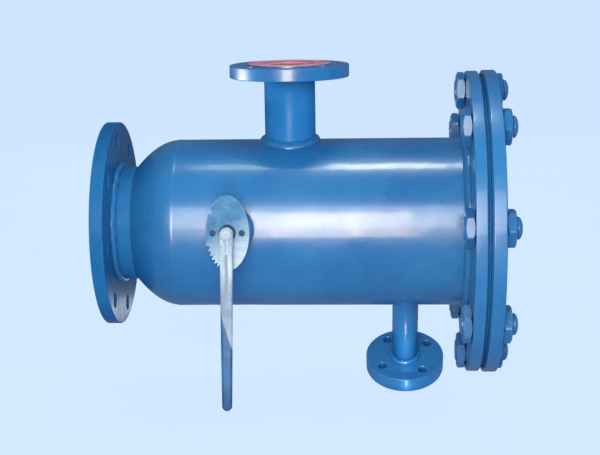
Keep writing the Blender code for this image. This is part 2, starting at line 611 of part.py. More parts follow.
# ---------------------------------------------------------------- screens
front_ring = turned("front_partition",
                    [(SHELL_R - SHELL_WALL - GAP, PART_X1), (SHELL_R - SHELL_WALL - GAP, PART_X0),
                     (62.0, PART_X0), (62.0, PART_X1), (SCREEN_RO + GAP, PART_X1),
                     (SCREEN_RO + GAP, PART_X1 + 8), (SCREEN_RO + 5, PART_X1 + 8),
                     (SCREEN_RO + 5, PART_X1)],
                    steel("front_partition_steel", 0.45, 0.45), along_x(), SEG_BIG)


def screen(name, x0, x1, blank0, blank1, columns, rows, mat):
    """Open-ended perforated sleeve: a cylinder grid with every second cell cut
    out between the blank ends, thickened to a shell."""
    mesh = bpy.data.meshes.new(name)
    bm = bmesh.new()
    levels = [x0, x0 + blank0]
    for k in range(1, rows + 1):
        levels.append(x0 + blank0 + (x1 - blank1 - x0 - blank0) * k / rows)
    levels.append(x1)
    loops = []
    for h in levels:
        made = bmesh.ops.create_circle(bm, cap_ends=False, segments=columns,
                                       radius=SCREEN_RO * MM,
                                       matrix=Matrix.Translation((0, 0, h * MM)))
        loops.append(made["verts"])
    for low, high in zip(loops, loops[1:]):
        edges = [e for loop in (low, high) for e in
                 {edge for v in loop for edge in v.link_edges if edge.other_vert(v) in loop}]
        bmesh.ops.bridge_loops(bm, edges=edges)
    bmesh.ops.recalc_face_normals(bm, faces=bm.faces)
    doomed = []
    for face in bm.faces:
        c = face.calc_center_median()
        h = c.z / MM
        if h < x0 + blank0 or h > x1 - blank1:
            continue
        row = int((h - x0 - blank0) / ((x1 - blank1 - x0 - blank0) / rows))
        col = int((math.atan2(c.y, c.x) % math.tau) / (math.tau / columns))
        if row % 2 == 1 and (col + (row // 2) % 2) % 2 == 0:
            doomed.append(face)
    bmesh.ops.delete(bm, geom=doomed, context="FACES")
    out = sum((f.normal.dot(Vector((*f.calc_center_median().xy, 0))) for f in bm.faces))
    if out < 0:
        bmesh.ops.reverse_faces(bm, faces=bm.faces)
    bm.to_mesh(mesh)
    bm.free()
    obj = add(name, mesh, mat, along_x())
    shell_mod = obj.modifiers.new("sheet", "SOLIDIFY")
    shell_mod.thickness = (SCREEN_RO - SCREEN_RI) * MM
    shell_mod.offset = -1.0
    return obj


screen("screen_front", PART_X1 + GAP, SEAT_X0 - GAP, 9, 7, 28, 3,
       steel("screen_front_stainless", 0.6, 0.35))
screen("screen_rear", SEAT_X1 + GAP, SCREEN_X1, 8, 14, 28, 7,
       steel("screen_rear_stainless", 0.6, 0.35))

rear_ring = turned("rear_partition",
                   ring(SHELL_R - SHELL_WALL - GAP, SCREEN_RO + GAP, REAR_X0, REAR_X1),
                   steel("rear_partition_steel", 0.45, 0.45), along_x(), SEG_BIG)
end_ring = turned("screen_end_ring",
                  [(92.0, REAR_X1 + GAP + 5), (92.0, REAR_X1 + GAP),
                   (SCREEN_RO + GAP, REAR_X1 + GAP), (SCREEN_RO + GAP, SCREEN_X1 + GAP),
                   (62.0, SCREEN_X1 + GAP), (62.0, SCREEN_X1 + GAP + 4), (78.0, SCREEN_X1 + GAP + 4),
                   (78.0, REAR_X1 + GAP + 5)],
                  steel("screen_end_ring_stainless", 0.6, 0.35), along_x(), SEG_MID)
hold_holes = bolt_circle("screen_screw_holes", 4, 85.0, 3.4, REAR_X0 - 5, REAR_X1 + 20, 45.0,
                         along_x(), 12)
combine(rear_ring, hold_holes)
combine(end_ring, hold_holes)
for i in range(4):
    turn = Matrix.Rotation(math.radians(45.0 + 90.0 * i), 4, "Z")
    top = REAR_X1 + GAP + 5 + GAP
    turned(f"screen_screw_{i + 1}",
           [(0, top + 4), (5.2, top + 4), (5.2, top), (3.0, top), (3.0, REAR_X0 - 3),
            (0, REAR_X0 - 3)],
           steel(f"screen_screw_{i + 1}_steel", 0.5, 0.35),
           along_x() @ turn @ Matrix.Translation((85.0 * MM, 0, 0)), SEG_HOLE, closed=False)

for obj in strainer.objects:
    if obj.type == "MESH" and not any(m.type == "SCREW" for m in obj.modifiers):
        smooth(obj.data)
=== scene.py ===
import math

import bmesh
import bpy
from mathutils import Matrix, Vector, noise


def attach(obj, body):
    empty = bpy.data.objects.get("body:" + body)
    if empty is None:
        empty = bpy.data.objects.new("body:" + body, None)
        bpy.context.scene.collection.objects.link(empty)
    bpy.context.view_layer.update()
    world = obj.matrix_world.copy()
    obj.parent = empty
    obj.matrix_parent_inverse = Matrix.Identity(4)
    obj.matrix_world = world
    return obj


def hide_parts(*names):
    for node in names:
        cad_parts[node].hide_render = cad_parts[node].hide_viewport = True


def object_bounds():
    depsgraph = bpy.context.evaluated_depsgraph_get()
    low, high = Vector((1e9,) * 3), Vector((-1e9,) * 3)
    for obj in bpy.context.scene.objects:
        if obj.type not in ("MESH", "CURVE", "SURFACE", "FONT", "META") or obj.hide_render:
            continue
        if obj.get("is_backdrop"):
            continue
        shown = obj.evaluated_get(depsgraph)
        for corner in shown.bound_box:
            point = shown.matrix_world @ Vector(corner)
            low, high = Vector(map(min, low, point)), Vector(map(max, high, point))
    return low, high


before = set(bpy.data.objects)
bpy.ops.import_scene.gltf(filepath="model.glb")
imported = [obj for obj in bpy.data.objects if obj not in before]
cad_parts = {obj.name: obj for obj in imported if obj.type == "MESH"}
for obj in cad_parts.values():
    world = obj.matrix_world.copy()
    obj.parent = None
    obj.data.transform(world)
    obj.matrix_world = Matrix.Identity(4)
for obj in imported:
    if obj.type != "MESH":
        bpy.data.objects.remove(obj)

cad_low, cad_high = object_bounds()
BODY, LEVER = "strainer_body", "lever_assembly"
MM = 0.001
TAU = math.tau

# ---------------------------------------------------------------- dimensions, mm
SHELL_R, SHELL_WALL, SHELL_X0, SHELL_X1 = 117.0, 7.0, 106.5, 514.5
NECK_R, NECK_WALL, NECK_X0, NECK_X1 = 79.5, 6.0, 3.5, 45.0
INLET_R, INLET_T, INLET_PCR, INLET_HOLE_R = 142.5, 20.0, 120.0, 11.0
INLET_CLOCK, INLET_FACE_R, INLET_FACE_T = -6.0, 106.0, 2.0
FLANGE_R, COVER_R, FLANGE_X0, FLANGE_X1 = 209.0, 210.0, 504.0, 519.5
FACE_R, FACE_T, GASKET_T = 205.0, 1.5, 2.9
COVER_X0, COVER_X1 = 526.0, 543.5
BOLT_PCR, BOLT_N, BOLT_CLOCK, STUD_R = 182.0, 8, 8.4, 15.0
STUD_X0, STUD_X1, BOLT_HOLE_R = 490.1, 564.5, 16.6
NUT_AC_R, NUT_T = 26.3, 11.7
OUT_X, OUT_R, OUT_WALL, OUT_TOP, OUT_T = 261.5, 35.2, 5.0, 223.5, 19.0
OUT_FLANGE_R, OUT_FACE_R, OUT_FACE_T, OUT_PCR, OUT_HOLE_R = 82.5, 57.0, 2.0, 67.5, 8.0
DRAIN_X, DRAIN_LEAN, DRAIN_R, DRAIN_WALL = 422.5, 24.0, 19.0, 4.0
DRAIN_BACK, DRAIN_T, DRAIN_FLANGE_R = 247.0, 25.0, 58.0
DRAIN_FACE_R, DRAIN_FACE_T, DRAIN_PCR, DRAIN_HOLE_R, DRAIN_CLOCK = 34.0, 2.0, 42.5, 6.5, 53.0
SPINDLE_X, SPINDLE_RISE, SPINDLE_R = 186.5, 6.0, 8.0
BOSS_R, BOSS_TOP, PACK_R, PACK_Z0, PACK_Z1 = 26.0, 149.0, 15.0, 127.0, 137.0
PLATE_A, PLATE_B, PLATE_T, PLATE_Z0 = 28.5, 49.0, 4.0, 149.3
TOOTH_N, TOOTH_DEPTH, TOOTH_FROM, TOOTH_TO = 7, 3.2, 199.0, 259.0
SCREW_X = 19.0
LEVER_Z0, LEVER_Z1, LEVER_HUB_R, LEVER_END_R = 161.0, 170.0, 8.8, 6.2
LEVER_DRIFT, LEVER_SPLIT_TOP, LEVER_SPLIT_LOW, LEVER_TIP = -2.2, -112.0, -152.0, -232.0
SCREEN_RI, SCREEN_RO, SEAT_X0, SEAT_X1 = 67.2, 69.7, 166.5, 206.5
SEAT_RI, SEAT_RO, DISC_R, DISC_T, DISC_HUB_R = 63.0, 76.0, 62.4, 7.0, 13.5
PART_X0, PART_X1, SCREEN_X1 = 108.5, 114.5, 399.0
GAP = 0.3


def along_x(x=0.0):
    return Matrix.Translation((x * MM, 0, 0)) @ Matrix.Rotation(math.pi / 2, 4, "Y")


UPRIGHT = Matrix.Translation((OUT_X * MM, 0, 0))
SPINDLE = (Matrix.Translation((SPINDLE_X * MM, 0, 0))
           @ Matrix.Rotation(math.radians(90.0 - SPINDLE_RISE), 4, "X"))
DRAIN = (Matrix.Translation((DRAIN_X * MM, 0, 0))
         @ Matrix.Rotation(math.radians(180.0 + DRAIN_LEAN), 4, "X"))
AXIS = along_x()


# ---------------------------------------------------------------- materials
class Finish:
    """A node material with short ways to make the usual nodes."""

    def __init__(self, name, rgb, roughness, metallic=0.0, coat=0.0, coat_roughness=0.1,
                 specular=0.5):
        self.mat = bpy.data.materials.new(name)
        self.mat.use_nodes = True
        self.tree = self.mat.node_tree
        self.tree.nodes.clear()
        self.out = self.node("ShaderNodeOutputMaterial")
        self.bsdf = self.node("ShaderNodeBsdfPrincipled")
        self.join(self.bsdf.outputs[0], self.out.inputs[0])
        put = self.bsdf.inputs
        put["Base Color"].default_value = (*rgb, 1.0)
        put["Roughness"].default_value = roughness
        put["Metallic"].default_value = metallic
        put["Coat Weight"].default_value = coat
        put["Coat Roughness"].default_value = coat_roughness
        put["Specular IOR Level"].default_value = specular
        self.mat.diffuse_color = (*rgb, 1.0)
        self.place = self.node("ShaderNodeTexCoord").outputs["Object"]

    def node(self, kind, **props):
        made = self.tree.nodes.new(kind)
        for key, value in props.items():
            setattr(made, key, value)
        return made

    def join(self, a, b):
        self.tree.links.new(a, b)

    def stretched(self, x, y, z, turn=(0, 0, 0)):
        m = self.node("ShaderNodeMapping")
        m.inputs["Scale"].default_value = (x, y, z)
        m.inputs["Rotation"].default_value = turn
        self.join(self.place, m.inputs["Vector"])
        return m.outputs[0]

    def noise(self, scale, detail=2.0, rough=0.5, place=None, distortion=0.0):
        n = self.node("ShaderNodeTexNoise")
        n.inputs["Scale"].default_value = scale
        n.inputs["Detail"].default_value = detail
        n.inputs["Roughness"].default_value = rough
        n.inputs["Distortion"].default_value = distortion
        self.join(place or self.place, n.inputs["Vector"])
        return n.outputs["Fac"]

    def level(self, value, low, high, to_low=0.0, to_high=1.0):
        m = self.node("ShaderNodeMapRange", clamp=True)
        self.join(value, m.inputs["Value"])
        for key, number in (("From Min", low), ("From Max", high), ("To Min", to_low),
                            ("To Max", to_high)):
            m.inputs[key].default_value = number
        return m.outputs["Result"]

    def maths(self, what, a, b=None):
        m = self.node("ShaderNodeMath", operation=what)
        for socket, value in zip(m.inputs, (a, b)):
            if value is None:
                continue
            if isinstance(value, (int, float)):
                socket.default_value = value
            else:
                self.join(value, socket)
        return m.outputs[0]

    def mix(self, fac, a, b, kind="MIX"):
        m = self.node("ShaderNodeMix", data_type="RGBA", blend_type=kind)
        if isinstance(fac, (int, float)):
            m.inputs[0].default_value = fac
        else:
            self.join(fac, m.inputs[0])
        for socket, value in ((m.inputs[6], a), (m.inputs[7], b)):
            if isinstance(value, tuple):
                socket.default_value = (*value, 1.0)
            else:
                self.join(value, socket)
        return m.outputs[2]

    def bump(self, height, strength, distance, normal=None):
        b = self.node("ShaderNodeBump")
        b.inputs["Strength"].default_value = strength
        b.inputs["Distance"].default_value = distance
        self.join(height, b.inputs["Height"])
        if normal is not None:
            self.join(normal, b.inputs["Normal"])
        return b.outputs[0]

    def edges(self, radius):
        """1 along convex and concave edges, 0 on open faces."""
        bevel = self.node("ShaderNodeBevel", samples=4)
        bevel.inputs["Radius"].default_value = radius
        here = self.node("ShaderNodeNewGeometry")
        dot = self.node("ShaderNodeVectorMath", operation="DOT_PRODUCT")
        self.join(bevel.outputs[0], dot.inputs[0])
        self.join(here.outputs["Normal"], dot.inputs[1])
        return self.level(dot.outputs["Value"], 0.995, 0.90)

    def corner_shade_mask(self, distance):
        """1 in tight corners, 0 in the open: the mask for painted shade."""
        ao = self.node("ShaderNodeAmbientOcclusion", samples=6)
        ao.inputs["Distance"].default_value = distance
        return self.level(ao.outputs["AO"], 0.75, 0.25)

    def give(self, color=None, roughness=None, normal=None, coat_normal=None):
        if color is not None:
            self.join(color, self.bsdf.inputs["Base Color"])
        if roughness is not None:
            self.join(roughness, self.bsdf.inputs["Roughness"])
        if normal is not None:
            self.join(normal, self.bsdf.inputs["Normal"])
        if coat_normal is not None:
            self.join(coat_normal, self.bsdf.inputs["Coat Normal"])
        return self.mat


def enamel(name, shade=1.0, wear=0.5, peel=1.0, gloss=1.0, dull_before=None):
    """Sprayed gloss blue: runs a little uneven, orange peel, thin along edges, darker in tight corners as
    painted shade.
    Dry overspray dulls it where X is below dull_before."""
    f = Finish(name, (0.010 * shade, 0.100 * shade, 0.285 * shade), 0.30, coat=0.35 * gloss,
               coat_roughness=0.10, specular=0.5 * gloss)
    dark = (0.006 * shade, 0.058 * shade, 0.205 * shade)
    mid = (0.010 * shade, 0.099 * shade, 0.284 * shade)
    pale = (0.016 * shade, 0.126 * shade, 0.320 * shade)
    cloud = f.noise(9.0, 3.0, 0.55)
    fine = f.noise(130.0, 2.0, 0.6)
    tone = f.mix(f.level(cloud, 0.36, 0.66), mid, pale)
    tone = f.mix(f.level(fine, 0.50, 0.78, 0.0, 0.30), tone, dark)
    # painted shade: tight corners are darkened toward the dark tone
    tone = f.mix(f.maths("MULTIPLY", f.corner_shade_mask(0.022), 0.75), tone, dark)
    scuff = f.noise(85.0, 4.0, 0.7)
    thin = f.maths("MULTIPLY", f.edges(0.0016), f.level(scuff, 0.45, 0.62))
    tone = f.mix(f.maths("MULTIPLY", thin, wear), tone, (0.10, 0.24, 0.42))
    chip = f.maths("MULTIPLY", f.edges(0.0011), f.level(f.noise(140.0, 3.0, 0.6), 0.62, 0.68))
    tone = f.mix(f.maths("MULTIPLY", chip, wear * 0.8), tone, (0.20, 0.26, 0.32))
    rough = f.level(f.noise(24.0, 3.0, 0.6), 0.3, 0.7, 0.25, 0.37)
    wave = f.bump(f.noise(22.0, 1.0, 0.4), 0.30 * peel, 0.0022)
    skin = f.bump(f.noise(300.0, 1.0, 0.5), 0.10 * peel, 0.0005, wave)
    if dull_before is not None:
        where = f.node("ShaderNodeSeparateXYZ")
        f.join(f.place, where.inputs[0])
        shine = f.level(where.outputs["X"], dull_before, dull_before + 0.030, 0.06, 1.0)
        f.join(f.maths("MULTIPLY", shine, 0.35 * gloss), f.bsdf.inputs["Coat Weight"])
        f.join(f.maths("MULTIPLY", shine, 0.5 * gloss), f.bsdf.inputs["Specular IOR Level"])
    return f.give(tone, rough, skin, skin)


def primer_red():
    f = Finish("red_primer", (0.40, 0.075, 0.055), 0.55)
    blot = f.noise(38.0, 4.0, 0.6)
    tone = f.mix(f.level(blot, 0.35, 0.68), (0.42, 0.130, 0.190), (0.56, 0.235, 0.320))
    tone = f.mix(f.level(f.noise(260.0, 2.0, 0.6), 0.55, 0.8, 0.0, 0.5), tone, (0.17, 0.04, 0.05))
    tone = f.mix(f.level(f.noise(16.0, 3.0, 0.6, distortion=0.8), 0.66, 0.74, 0.0, 0.5), tone,
                 (0.03, 0.12, 0.34))
    return f.give(tone, f.level(blot, 0.3, 0.7, 0.42, 0.66),
                  f.bump(f.noise(420.0, 2.0, 0.6), 0.25, 0.0004))


def inner_coat():
    f = Finish("inner_primer", (0.16, 0.07, 0.05), 0.7)
    tone = f.mix(f.level(f.noise(30.0, 5.0, 0.65), 0.35, 0.7), (0.11, 0.05, 0.04),
                 (0.26, 0.12, 0.08))
    return f.give(tone, f.level(f.noise(60.0, 2.0), 0.3, 0.7, 0.55, 0.8),
                  f.bump(f.noise(200.0, 3.0, 0.6), 0.35, 0.0006))


def metal(name, rgb, other, roughness, grain=(1.0, 1.0, 60.0), scale=30.0, bump=0.08, turn=(0, 0, 0),
          metallic=1.0):
    """Bare or plated metal with a directional grain, stains and rubbed edges."""
    f = Finish(name, rgb, roughness, metallic)
    lines = f.noise(scale, 3.0, 0.6, f.stretched(*grain, turn))
    tone = f.mix(f.level(lines, 0.35, 0.65), rgb, other)
    stain = f.level(f.noise(45.0, 4.0, 0.65), 0.52, 0.72, 0.0, 0.4)
    tone = f.mix(stain, tone, tuple(c * 0.55 for c in rgb))
    tone = f.mix(f.maths("MULTIPLY", f.edges(0.0008), 0.6), tone,
                 tuple(min(1.0, c * 1.25) for c in rgb))
    return f.give(tone, f.level(lines, 0.3, 0.7, roughness * 0.8, roughness * 1.25),
                  f.bump(lines, bump, 0.0004))


def plate_zinc():
    """Zinc plate, blue and mottled towards its top and left, pale zinc towards its lower right: painted
    reflection, the dark blue surroundings at the top and the light at the lower right.
    """
    f = Finish("index_plate_zinc", (0.30, 0.41, 0.50), 0.52, 0.0, specular=0.12)
    spangle = f.node("ShaderNodeTexVoronoi", feature="F1")
    spangle.inputs["Scale"].default_value = 170.0
    f.join(f.place, spangle.inputs["Vector"])
    grain = f.noise(28.0, 4.0, 0.6, f.stretched(1.0, 1.0, 24.0))
    tone = f.mix(f.level(grain, 0.34, 0.66), (0.26, 0.38, 0.47), (0.38, 0.48, 0.57))
    tone = f.mix(f.level(spangle.outputs["Distance"], 0.1, 0.8, 0.0, 0.22), tone,
                 (0.22, 0.34, 0.46))
    # painted reflection: the plate turns blue towards its top and left and stays pale zinc towards its
    # lower right
    where = f.node("ShaderNodeSeparateXYZ")
    f.join(f.place, where.inputs[0])
    across = f.maths("MULTIPLY", f.maths("SUBTRACT", where.outputs["X"], SPINDLE_X * MM), -0.5)
    climb = f.maths("ADD", f.maths("ADD", where.outputs["Z"], across),
                    f.maths("MULTIPLY", f.noise(60.0, 3.0, 0.6), 0.022))
    painted_reflection = f.level(climb, -0.012, 0.042, 0.0, 0.92)
    mottle = f.mix(f.level(f.noise(95.0, 4.0, 0.7), 0.36, 0.64), (0.008, 0.075, 0.200),
                   (0.026, 0.160, 0.335))
    tone = f.mix(painted_reflection, tone, mottle)
    # painted shade: tight corners of the plate are darkened
    tone = f.mix(f.maths("MULTIPLY", f.corner_shade_mask(0.010), 0.8), tone, (0.03, 0.10, 0.20))
    tone = f.mix(f.maths("MULTIPLY", f.edges(0.0008), 0.4), tone, (0.55, 0.64, 0.72))
    return f.give(tone, f.level(grain, 0.3, 0.7, 0.46, 0.58), f.bump(grain, 0.12, 0.0004))


def lever_silver():
    f = Finish("lever_silver", (0.28, 0.37, 0.46), 0.46, 0.0, specular=0.18)
    along = f.noise(16.0, 4.0, 0.65, f.stretched(9.0, 9.0, 0.7))
    tone = f.mix(f.level(along, 0.36, 0.62), (0.13, 0.22, 0.33), (0.40, 0.48, 0.57))
    tone = f.mix(f.level(f.noise(70.0, 4.0, 0.7), 0.56, 0.70, 0.0, 0.6), tone,
                 (0.10, 0.19, 0.32))
    where = f.node("ShaderNodeSeparateXYZ")
    f.join(f.place, where.inputs[0])
    middle = f.maths("MULTIPLY", f.level(where.outputs["Z"], -0.020, -0.048),
                     f.level(where.outputs["Z"], -0.118, -0.088))
    patchy = f.level(f.noise(34.0, 4.0, 0.65), 0.30, 0.60, 0.45, 0.95)
    tone = f.mix(f.maths("MULTIPLY", middle, patchy), tone, (0.12, 0.19, 0.30))
    # painted shade: tight corners of the lever are darkened
    tone = f.mix(f.maths("MULTIPLY", f.corner_shade_mask(0.006), 0.8), tone, (0.07, 0.12, 0.22))
    return f.give(tone, f.level(along, 0.3, 0.7, 0.38, 0.55),
                  f.bump(f.noise(240.0, 2.0, 0.6), 0.10, 0.0003))


def grip_blue():
    f = Finish("grip_blue", (0.012, 0.070, 0.19), 0.34, coat=0.06, coat_roughness=0.12, specular=0.25)
    tone = f.mix(f.level(f.noise(26.0, 3.0, 0.6), 0.35, 0.68), (0.008, 0.055, 0.16),
                 (0.018, 0.100, 0.26))
    rub = f.maths("MULTIPLY", f.edges(0.0024), f.level(f.noise(60.0, 4.0, 0.7), 0.50, 0.64))
    tone = f.mix(f.maths("MULTIPLY", rub, 0.55), tone, (0.10, 0.20, 0.30))
    skin = f.bump(f.noise(55.0, 2.0, 0.5), 0.35, 0.0012)
    return f.give(tone, f.level(f.noise(90.0, 2.0), 0.3, 0.7, 0.26, 0.42), skin, skin)


def soft_black(name, rgb, other, roughness, scale, specular=0.5):
    f = Finish(name, rgb, roughness, specular=specular)
    grit = f.noise(scale, 4.0, 0.7)
    return f.give(f.mix(f.level(grit, 0.35, 0.68), rgb, other),
                  f.level(grit, 0.3, 0.7, roughness * 0.85, min(1.0, roughness * 1.15)),
                  f.bump(grit, 0.3, 0.0004))


BLUE = enamel("blue_enamel", 1.0)
BLUE_DOME = enamel("blue_enamel_reducer", 0.97, dull_before=0.050)
BLUE_NOZZLE = enamel("blue_enamel_nozzles", 0.98, 0.6)
BLUE_NUT = enamel("blue_enamel_fasteners", 0.92, 0.9, 0.8)
BLUE_INLET = enamel("blue_enamel_inlet", 0.84, 0.5, 1.0, 0.08)
# painted highlight: the inlet neck weld gets a slightly lighter copy of the blue enamel, standing for the
# pale highlight band along the weld
BLUE_BEAD_HIGHLIT = enamel("blue_enamel_inlet_weld_painted_highlight", 1.05, 0.0, 1.0, 0.35)
BLUE_STUB = enamel("blue_enamel_stub", 1.16, 0.5, 1.0, 0.11)
# painted shade: a darker, matt copy of the blue enamel on the faces in the flange gap and on the gasket's
# outer rim, standing for the navy shade in the gap
GAP_SHADE_BLUE = enamel("blue_enamel_gap_painted_shade", 0.80, 0.0, 1.0, 0.06)
# painted light: a lighter copy of the blue enamel for the drain nozzle, lifting it out of the body's
# shadow
BLUE_DRAIN_LIT = enamel("blue_enamel_drain_painted_light", 1.30, 0.5, 1.0, 0.8)
RED = primer_red()
INSIDE = inner_coat()
ZINC = plate_zinc()
SILVER = lever_silver()
GRIP = grip_blue()
GROOVE = soft_black("lever_groove_shade", (0.10, 0.15, 0.22), (0.20, 0.27, 0.36), 0.6, 150.0)
STAINLESS = metal("stainless_satin", (0.56, 0.57, 0.58), (0.66, 0.66, 0.66), 0.34)
STEEL = metal("plain_steel", (0.38, 0.38, 0.39), (0.50, 0.49, 0.48), 0.45)
SCREW_STEEL = metal("lever_screw_zinc", (0.22, 0.29, 0.37), (0.34, 0.41, 0.48), 0.55, metallic=0.0)
BLACK_SCREW = soft_black("blackened_screw", (0.010, 0.042, 0.11), (0.022, 0.080, 0.18), 0.55, 120.0, 0.10)
BRONZE = metal("cast_bronze", (0.48, 0.31, 0.13), (0.60, 0.42, 0.20), 0.42, bump=0.2)
BRASS = metal("turned_brass", (0.70, 0.50, 0.20), (0.80, 0.62, 0.30), 0.30)
GASKET = soft_black("gasket_fibre", (0.022, 0.024, 0.028), (0.06, 0.062, 0.068), 0.85, 160.0)
# painted shade: the brass gland follower is coloured dark navy, so the ring round the lever hub reads as
# the shadow in the gap
GLAND_PAINTED_SHADE = soft_black("gland_dark_painted_shade", (0.012, 0.060, 0.19), (0.022, 0.095, 0.26), 0.6, 90.0, 0.1)
PACKING = soft_black("packing_graphite", (0.035, 0.036, 0.038), (0.09, 0.09, 0.095), 0.6, 220.0)


# ---------------------------------------------------------------- mesh making
def turned(bm, profile, segs, place, closed=True):
    """A (radius, height) profile in mm turned round the local Z of place."""
    rings = []
    for r, h in profile:
        if r < 1e-6:
            rings.append([bm.verts.new(place @ Vector((0, 0, h * MM)))])
        else:
            rings.append([bm.verts.new(place @ Vector((r * MM * math.cos(TAU * i / segs),
                                                       r * MM * math.sin(TAU * i / segs), h * MM)))
                          for i in range(segs)])
    pairs = list(zip(rings, rings[1:])) + ([(rings[-1], rings[0])] if closed else [])
    for a, b in pairs:
        for i in range(segs):
            j = (i + 1) % segs
            if len(a) == 1 and len(b) == 1:
                continue
            if len(a) == 1:
                bm.faces.new((a[0], b[i], b[j]))
            elif len(b) == 1:
                bm.faces.new((a[i], a[j], b[0]))
            else:
                bm.faces.new((a[i], a[j], b[j], b[i]))


def rounded(points, n=3):
    """Corners given as (x, y, radius) become arcs; the loop is closed."""
    out, m = [], len(points)
    for i, (x, y, rad) in enumerate(points):
        if not rad:
            out.append((x, y))
            continue
        p = Vector((x, y))
        u = (Vector(points[i - 1][:2]) - p).normalized()
        v = (Vector(points[(i + 1) % m][:2]) - p).normalized()
        half = u.angle(v) / 2
        c = p + (u + v).normalized() * (rad / math.sin(half))
        p0, p1 = p + u * (rad / math.tan(half)), p + v * (rad / math.tan(half))
        a0 = math.atan2(p0.y - c.y, p0.x - c.x)
        turn = (math.atan2(p1.y - c.y, p1.x - c.x) - a0 + math.pi) % TAU - math.pi
        out += [(c.x + rad * math.cos(a0 + turn * k / n), c.y + rad * math.sin(a0 + turn * k / n))
                for k in range(n + 1)]
    return out


def as_mesh(bm, name="made"):
    bmesh.ops.recalc_face_normals(bm, faces=bm.faces)
    mesh = bpy.data.meshes.new(name)
    bm.to_mesh(mesh)
    bm.free()
    return mesh


def boolean(mesh, tools):
    """mesh with each (tool mesh, operation) applied, as a new mesh."""
    scene = bpy.context.scene.collection
    base = bpy.data.objects.new("boolean_base", mesh)
    scene.objects.link(base)
    helpers = []
    for tool, operation in tools:
        helper = bpy.data.objects.new("boolean_tool", tool)
        scene.objects.link(helper)
        helpers.append(helper)
        mod = base.modifiers.new("cut", "BOOLEAN")
        mod.object, mod.operation, mod.solver = helper, operation, "EXACT"
    bpy.context.view_layer.update()
    made = bpy.data.meshes.new_from_object(
        base.evaluated_get(bpy.context.evaluated_depsgraph_get()))
    for o in helpers + [base]:
        bpy.data.objects.remove(o)
    return made


def piece(name, mesh, mat, body=BODY, stands_for=(), angle=32.0, second=None,
          pick=None, weighted=True, bevel=0.0):
    """Turns a finished mesh, in the row frame, into a shown piece."""
    mesh.name = name
    mesh.materials.clear()
    mesh.materials.append(mat)
    if second is not None:
        mesh.materials.append(second)
    for f in mesh.polygons:
        f.material_index = 1 if second is not None and pick(f.center / MM, f.normal) else 0
    mesh.shade_smooth()
    mesh.set_sharp_from_angle(angle=math.radians(angle))
    obj = bpy.data.objects.new(name, mesh)
    bpy.context.scene.collection.objects.link(obj)
    if bevel:
        b = obj.modifiers.new("edge", "BEVEL")
        b.width, b.segments, b.limit_method = bevel * MM, 2, "ANGLE"
        b.angle_limit = math.radians(38)
    if weighted:
        w = obj.modifiers.new("shading", "WEIGHTED_NORMAL")
        w.keep_sharp = True
    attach(obj, body)
    if stands_for:
        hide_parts(*stands_for)
    return obj


def drilled(profile, segs, place, holes, closed=True):
    """A turned solid with chamfered round holes: (radius, pitch radius, count, first
    angle, bottom, top)."""
    bm = bmesh.new()
    turned(bm, profile, segs, place, closed)
    mesh = as_mesh(bm)
    if not holes:
        return mesh
    bm = bmesh.new()
    for r, pcr, count, first, h0, h1 in holes:
        for i in range(count):
            spot = (place @ Matrix.Rotation(math.radians(first) + TAU * i / count, 4, "Z")
                    @ Matrix.Translation((pcr * MM, 0, 0)))
            turned(bm, [(0, h1 + 3), (r + 3.8, h1 + 3), (r, h1 - 0.8), (r, h0 + 0.8),
                        (r + 3.8, h0 - 3), (0, h0 - 3)], 32, spot, False)
    return boolean(mesh, [(as_mesh(bm), "DIFFERENCE")])


def weld(name, path, a, b, bulge, mat=None, pitch=3.9, depth=0.30, embed=1.4, seed=0.0):
    """A closed run of weld with ripples. a and b lead from the joint line to the two
    toes, and bulge lifts the middle; vectors in mm."""
    n, k_max = len(path), 6
    along = [0.0]
    for i in range(n):
        along.append(along[-1] + (path[(i + 1) % n] - path[i]).length)
    ripples = max(1, round(along[-1] / (pitch * MM)))
    bm = bmesh.new()
    rows = []
    for i, p in enumerate(path):
        stray = 0.16 * noise.noise(p * 70.0 + Vector((seed, 0.3, 0.7)))
        pa, pb = p + a[i] * (1 + stray) * MM, p + b[i] * (1 - stray) * MM
        row = []
        for k in range(k_max + 1):
            t = k / k_max
            phase = along[i] / along[-1] * ripples + 1.4 * t * (1 - t)
            lift = math.sin(math.pi * t) ** 0.8 * (
                1 - depth + depth * abs(math.sin(math.pi * phase)) ** 0.8 + stray)
            row.append(pa.lerp(pb, t) + bulge[i] * lift * MM)
        under = -bulge[i].normalized() * embed * MM
        row += [pb + under, pa + under]
        rows.append([bm.verts.new(q) for q in row])
    for r0, r1 in zip(rows, rows[1:] + rows[:1]):
        for k in range(len(r0)):
            m = (k + 1) % len(r0)
            bm.faces.new((r0[k], r0[m], r1[m], r1[k]))
    return piece(name, as_mesh(bm), mat or BLUE, angle=60.0, weighted=False)


def ring_weld(name, place, r, h, a, b, bulge, mat=None, seed=0.0, step=1.0):
    """A weld round a circle; a, b and bulge are (radial, axial) in mm."""
    n = int(TAU * r / step)
    turn = place.to_3x3()
    path, va, vb, vn = [], [], [], []
    for i in range(n):
        c, s = math.cos(TAU * i / n), math.sin(TAU * i / n)
        path.append(place @ Vector((r * c * MM, r * s * MM, h * MM)))
        for out, (rad, ax) in ((va, a), (vb, b), (vn, bulge)):
            out.append(turn @ Vector((rad * c, rad * s, ax)))
    return weld(name, path, va, vb, vn, mat, seed=seed)


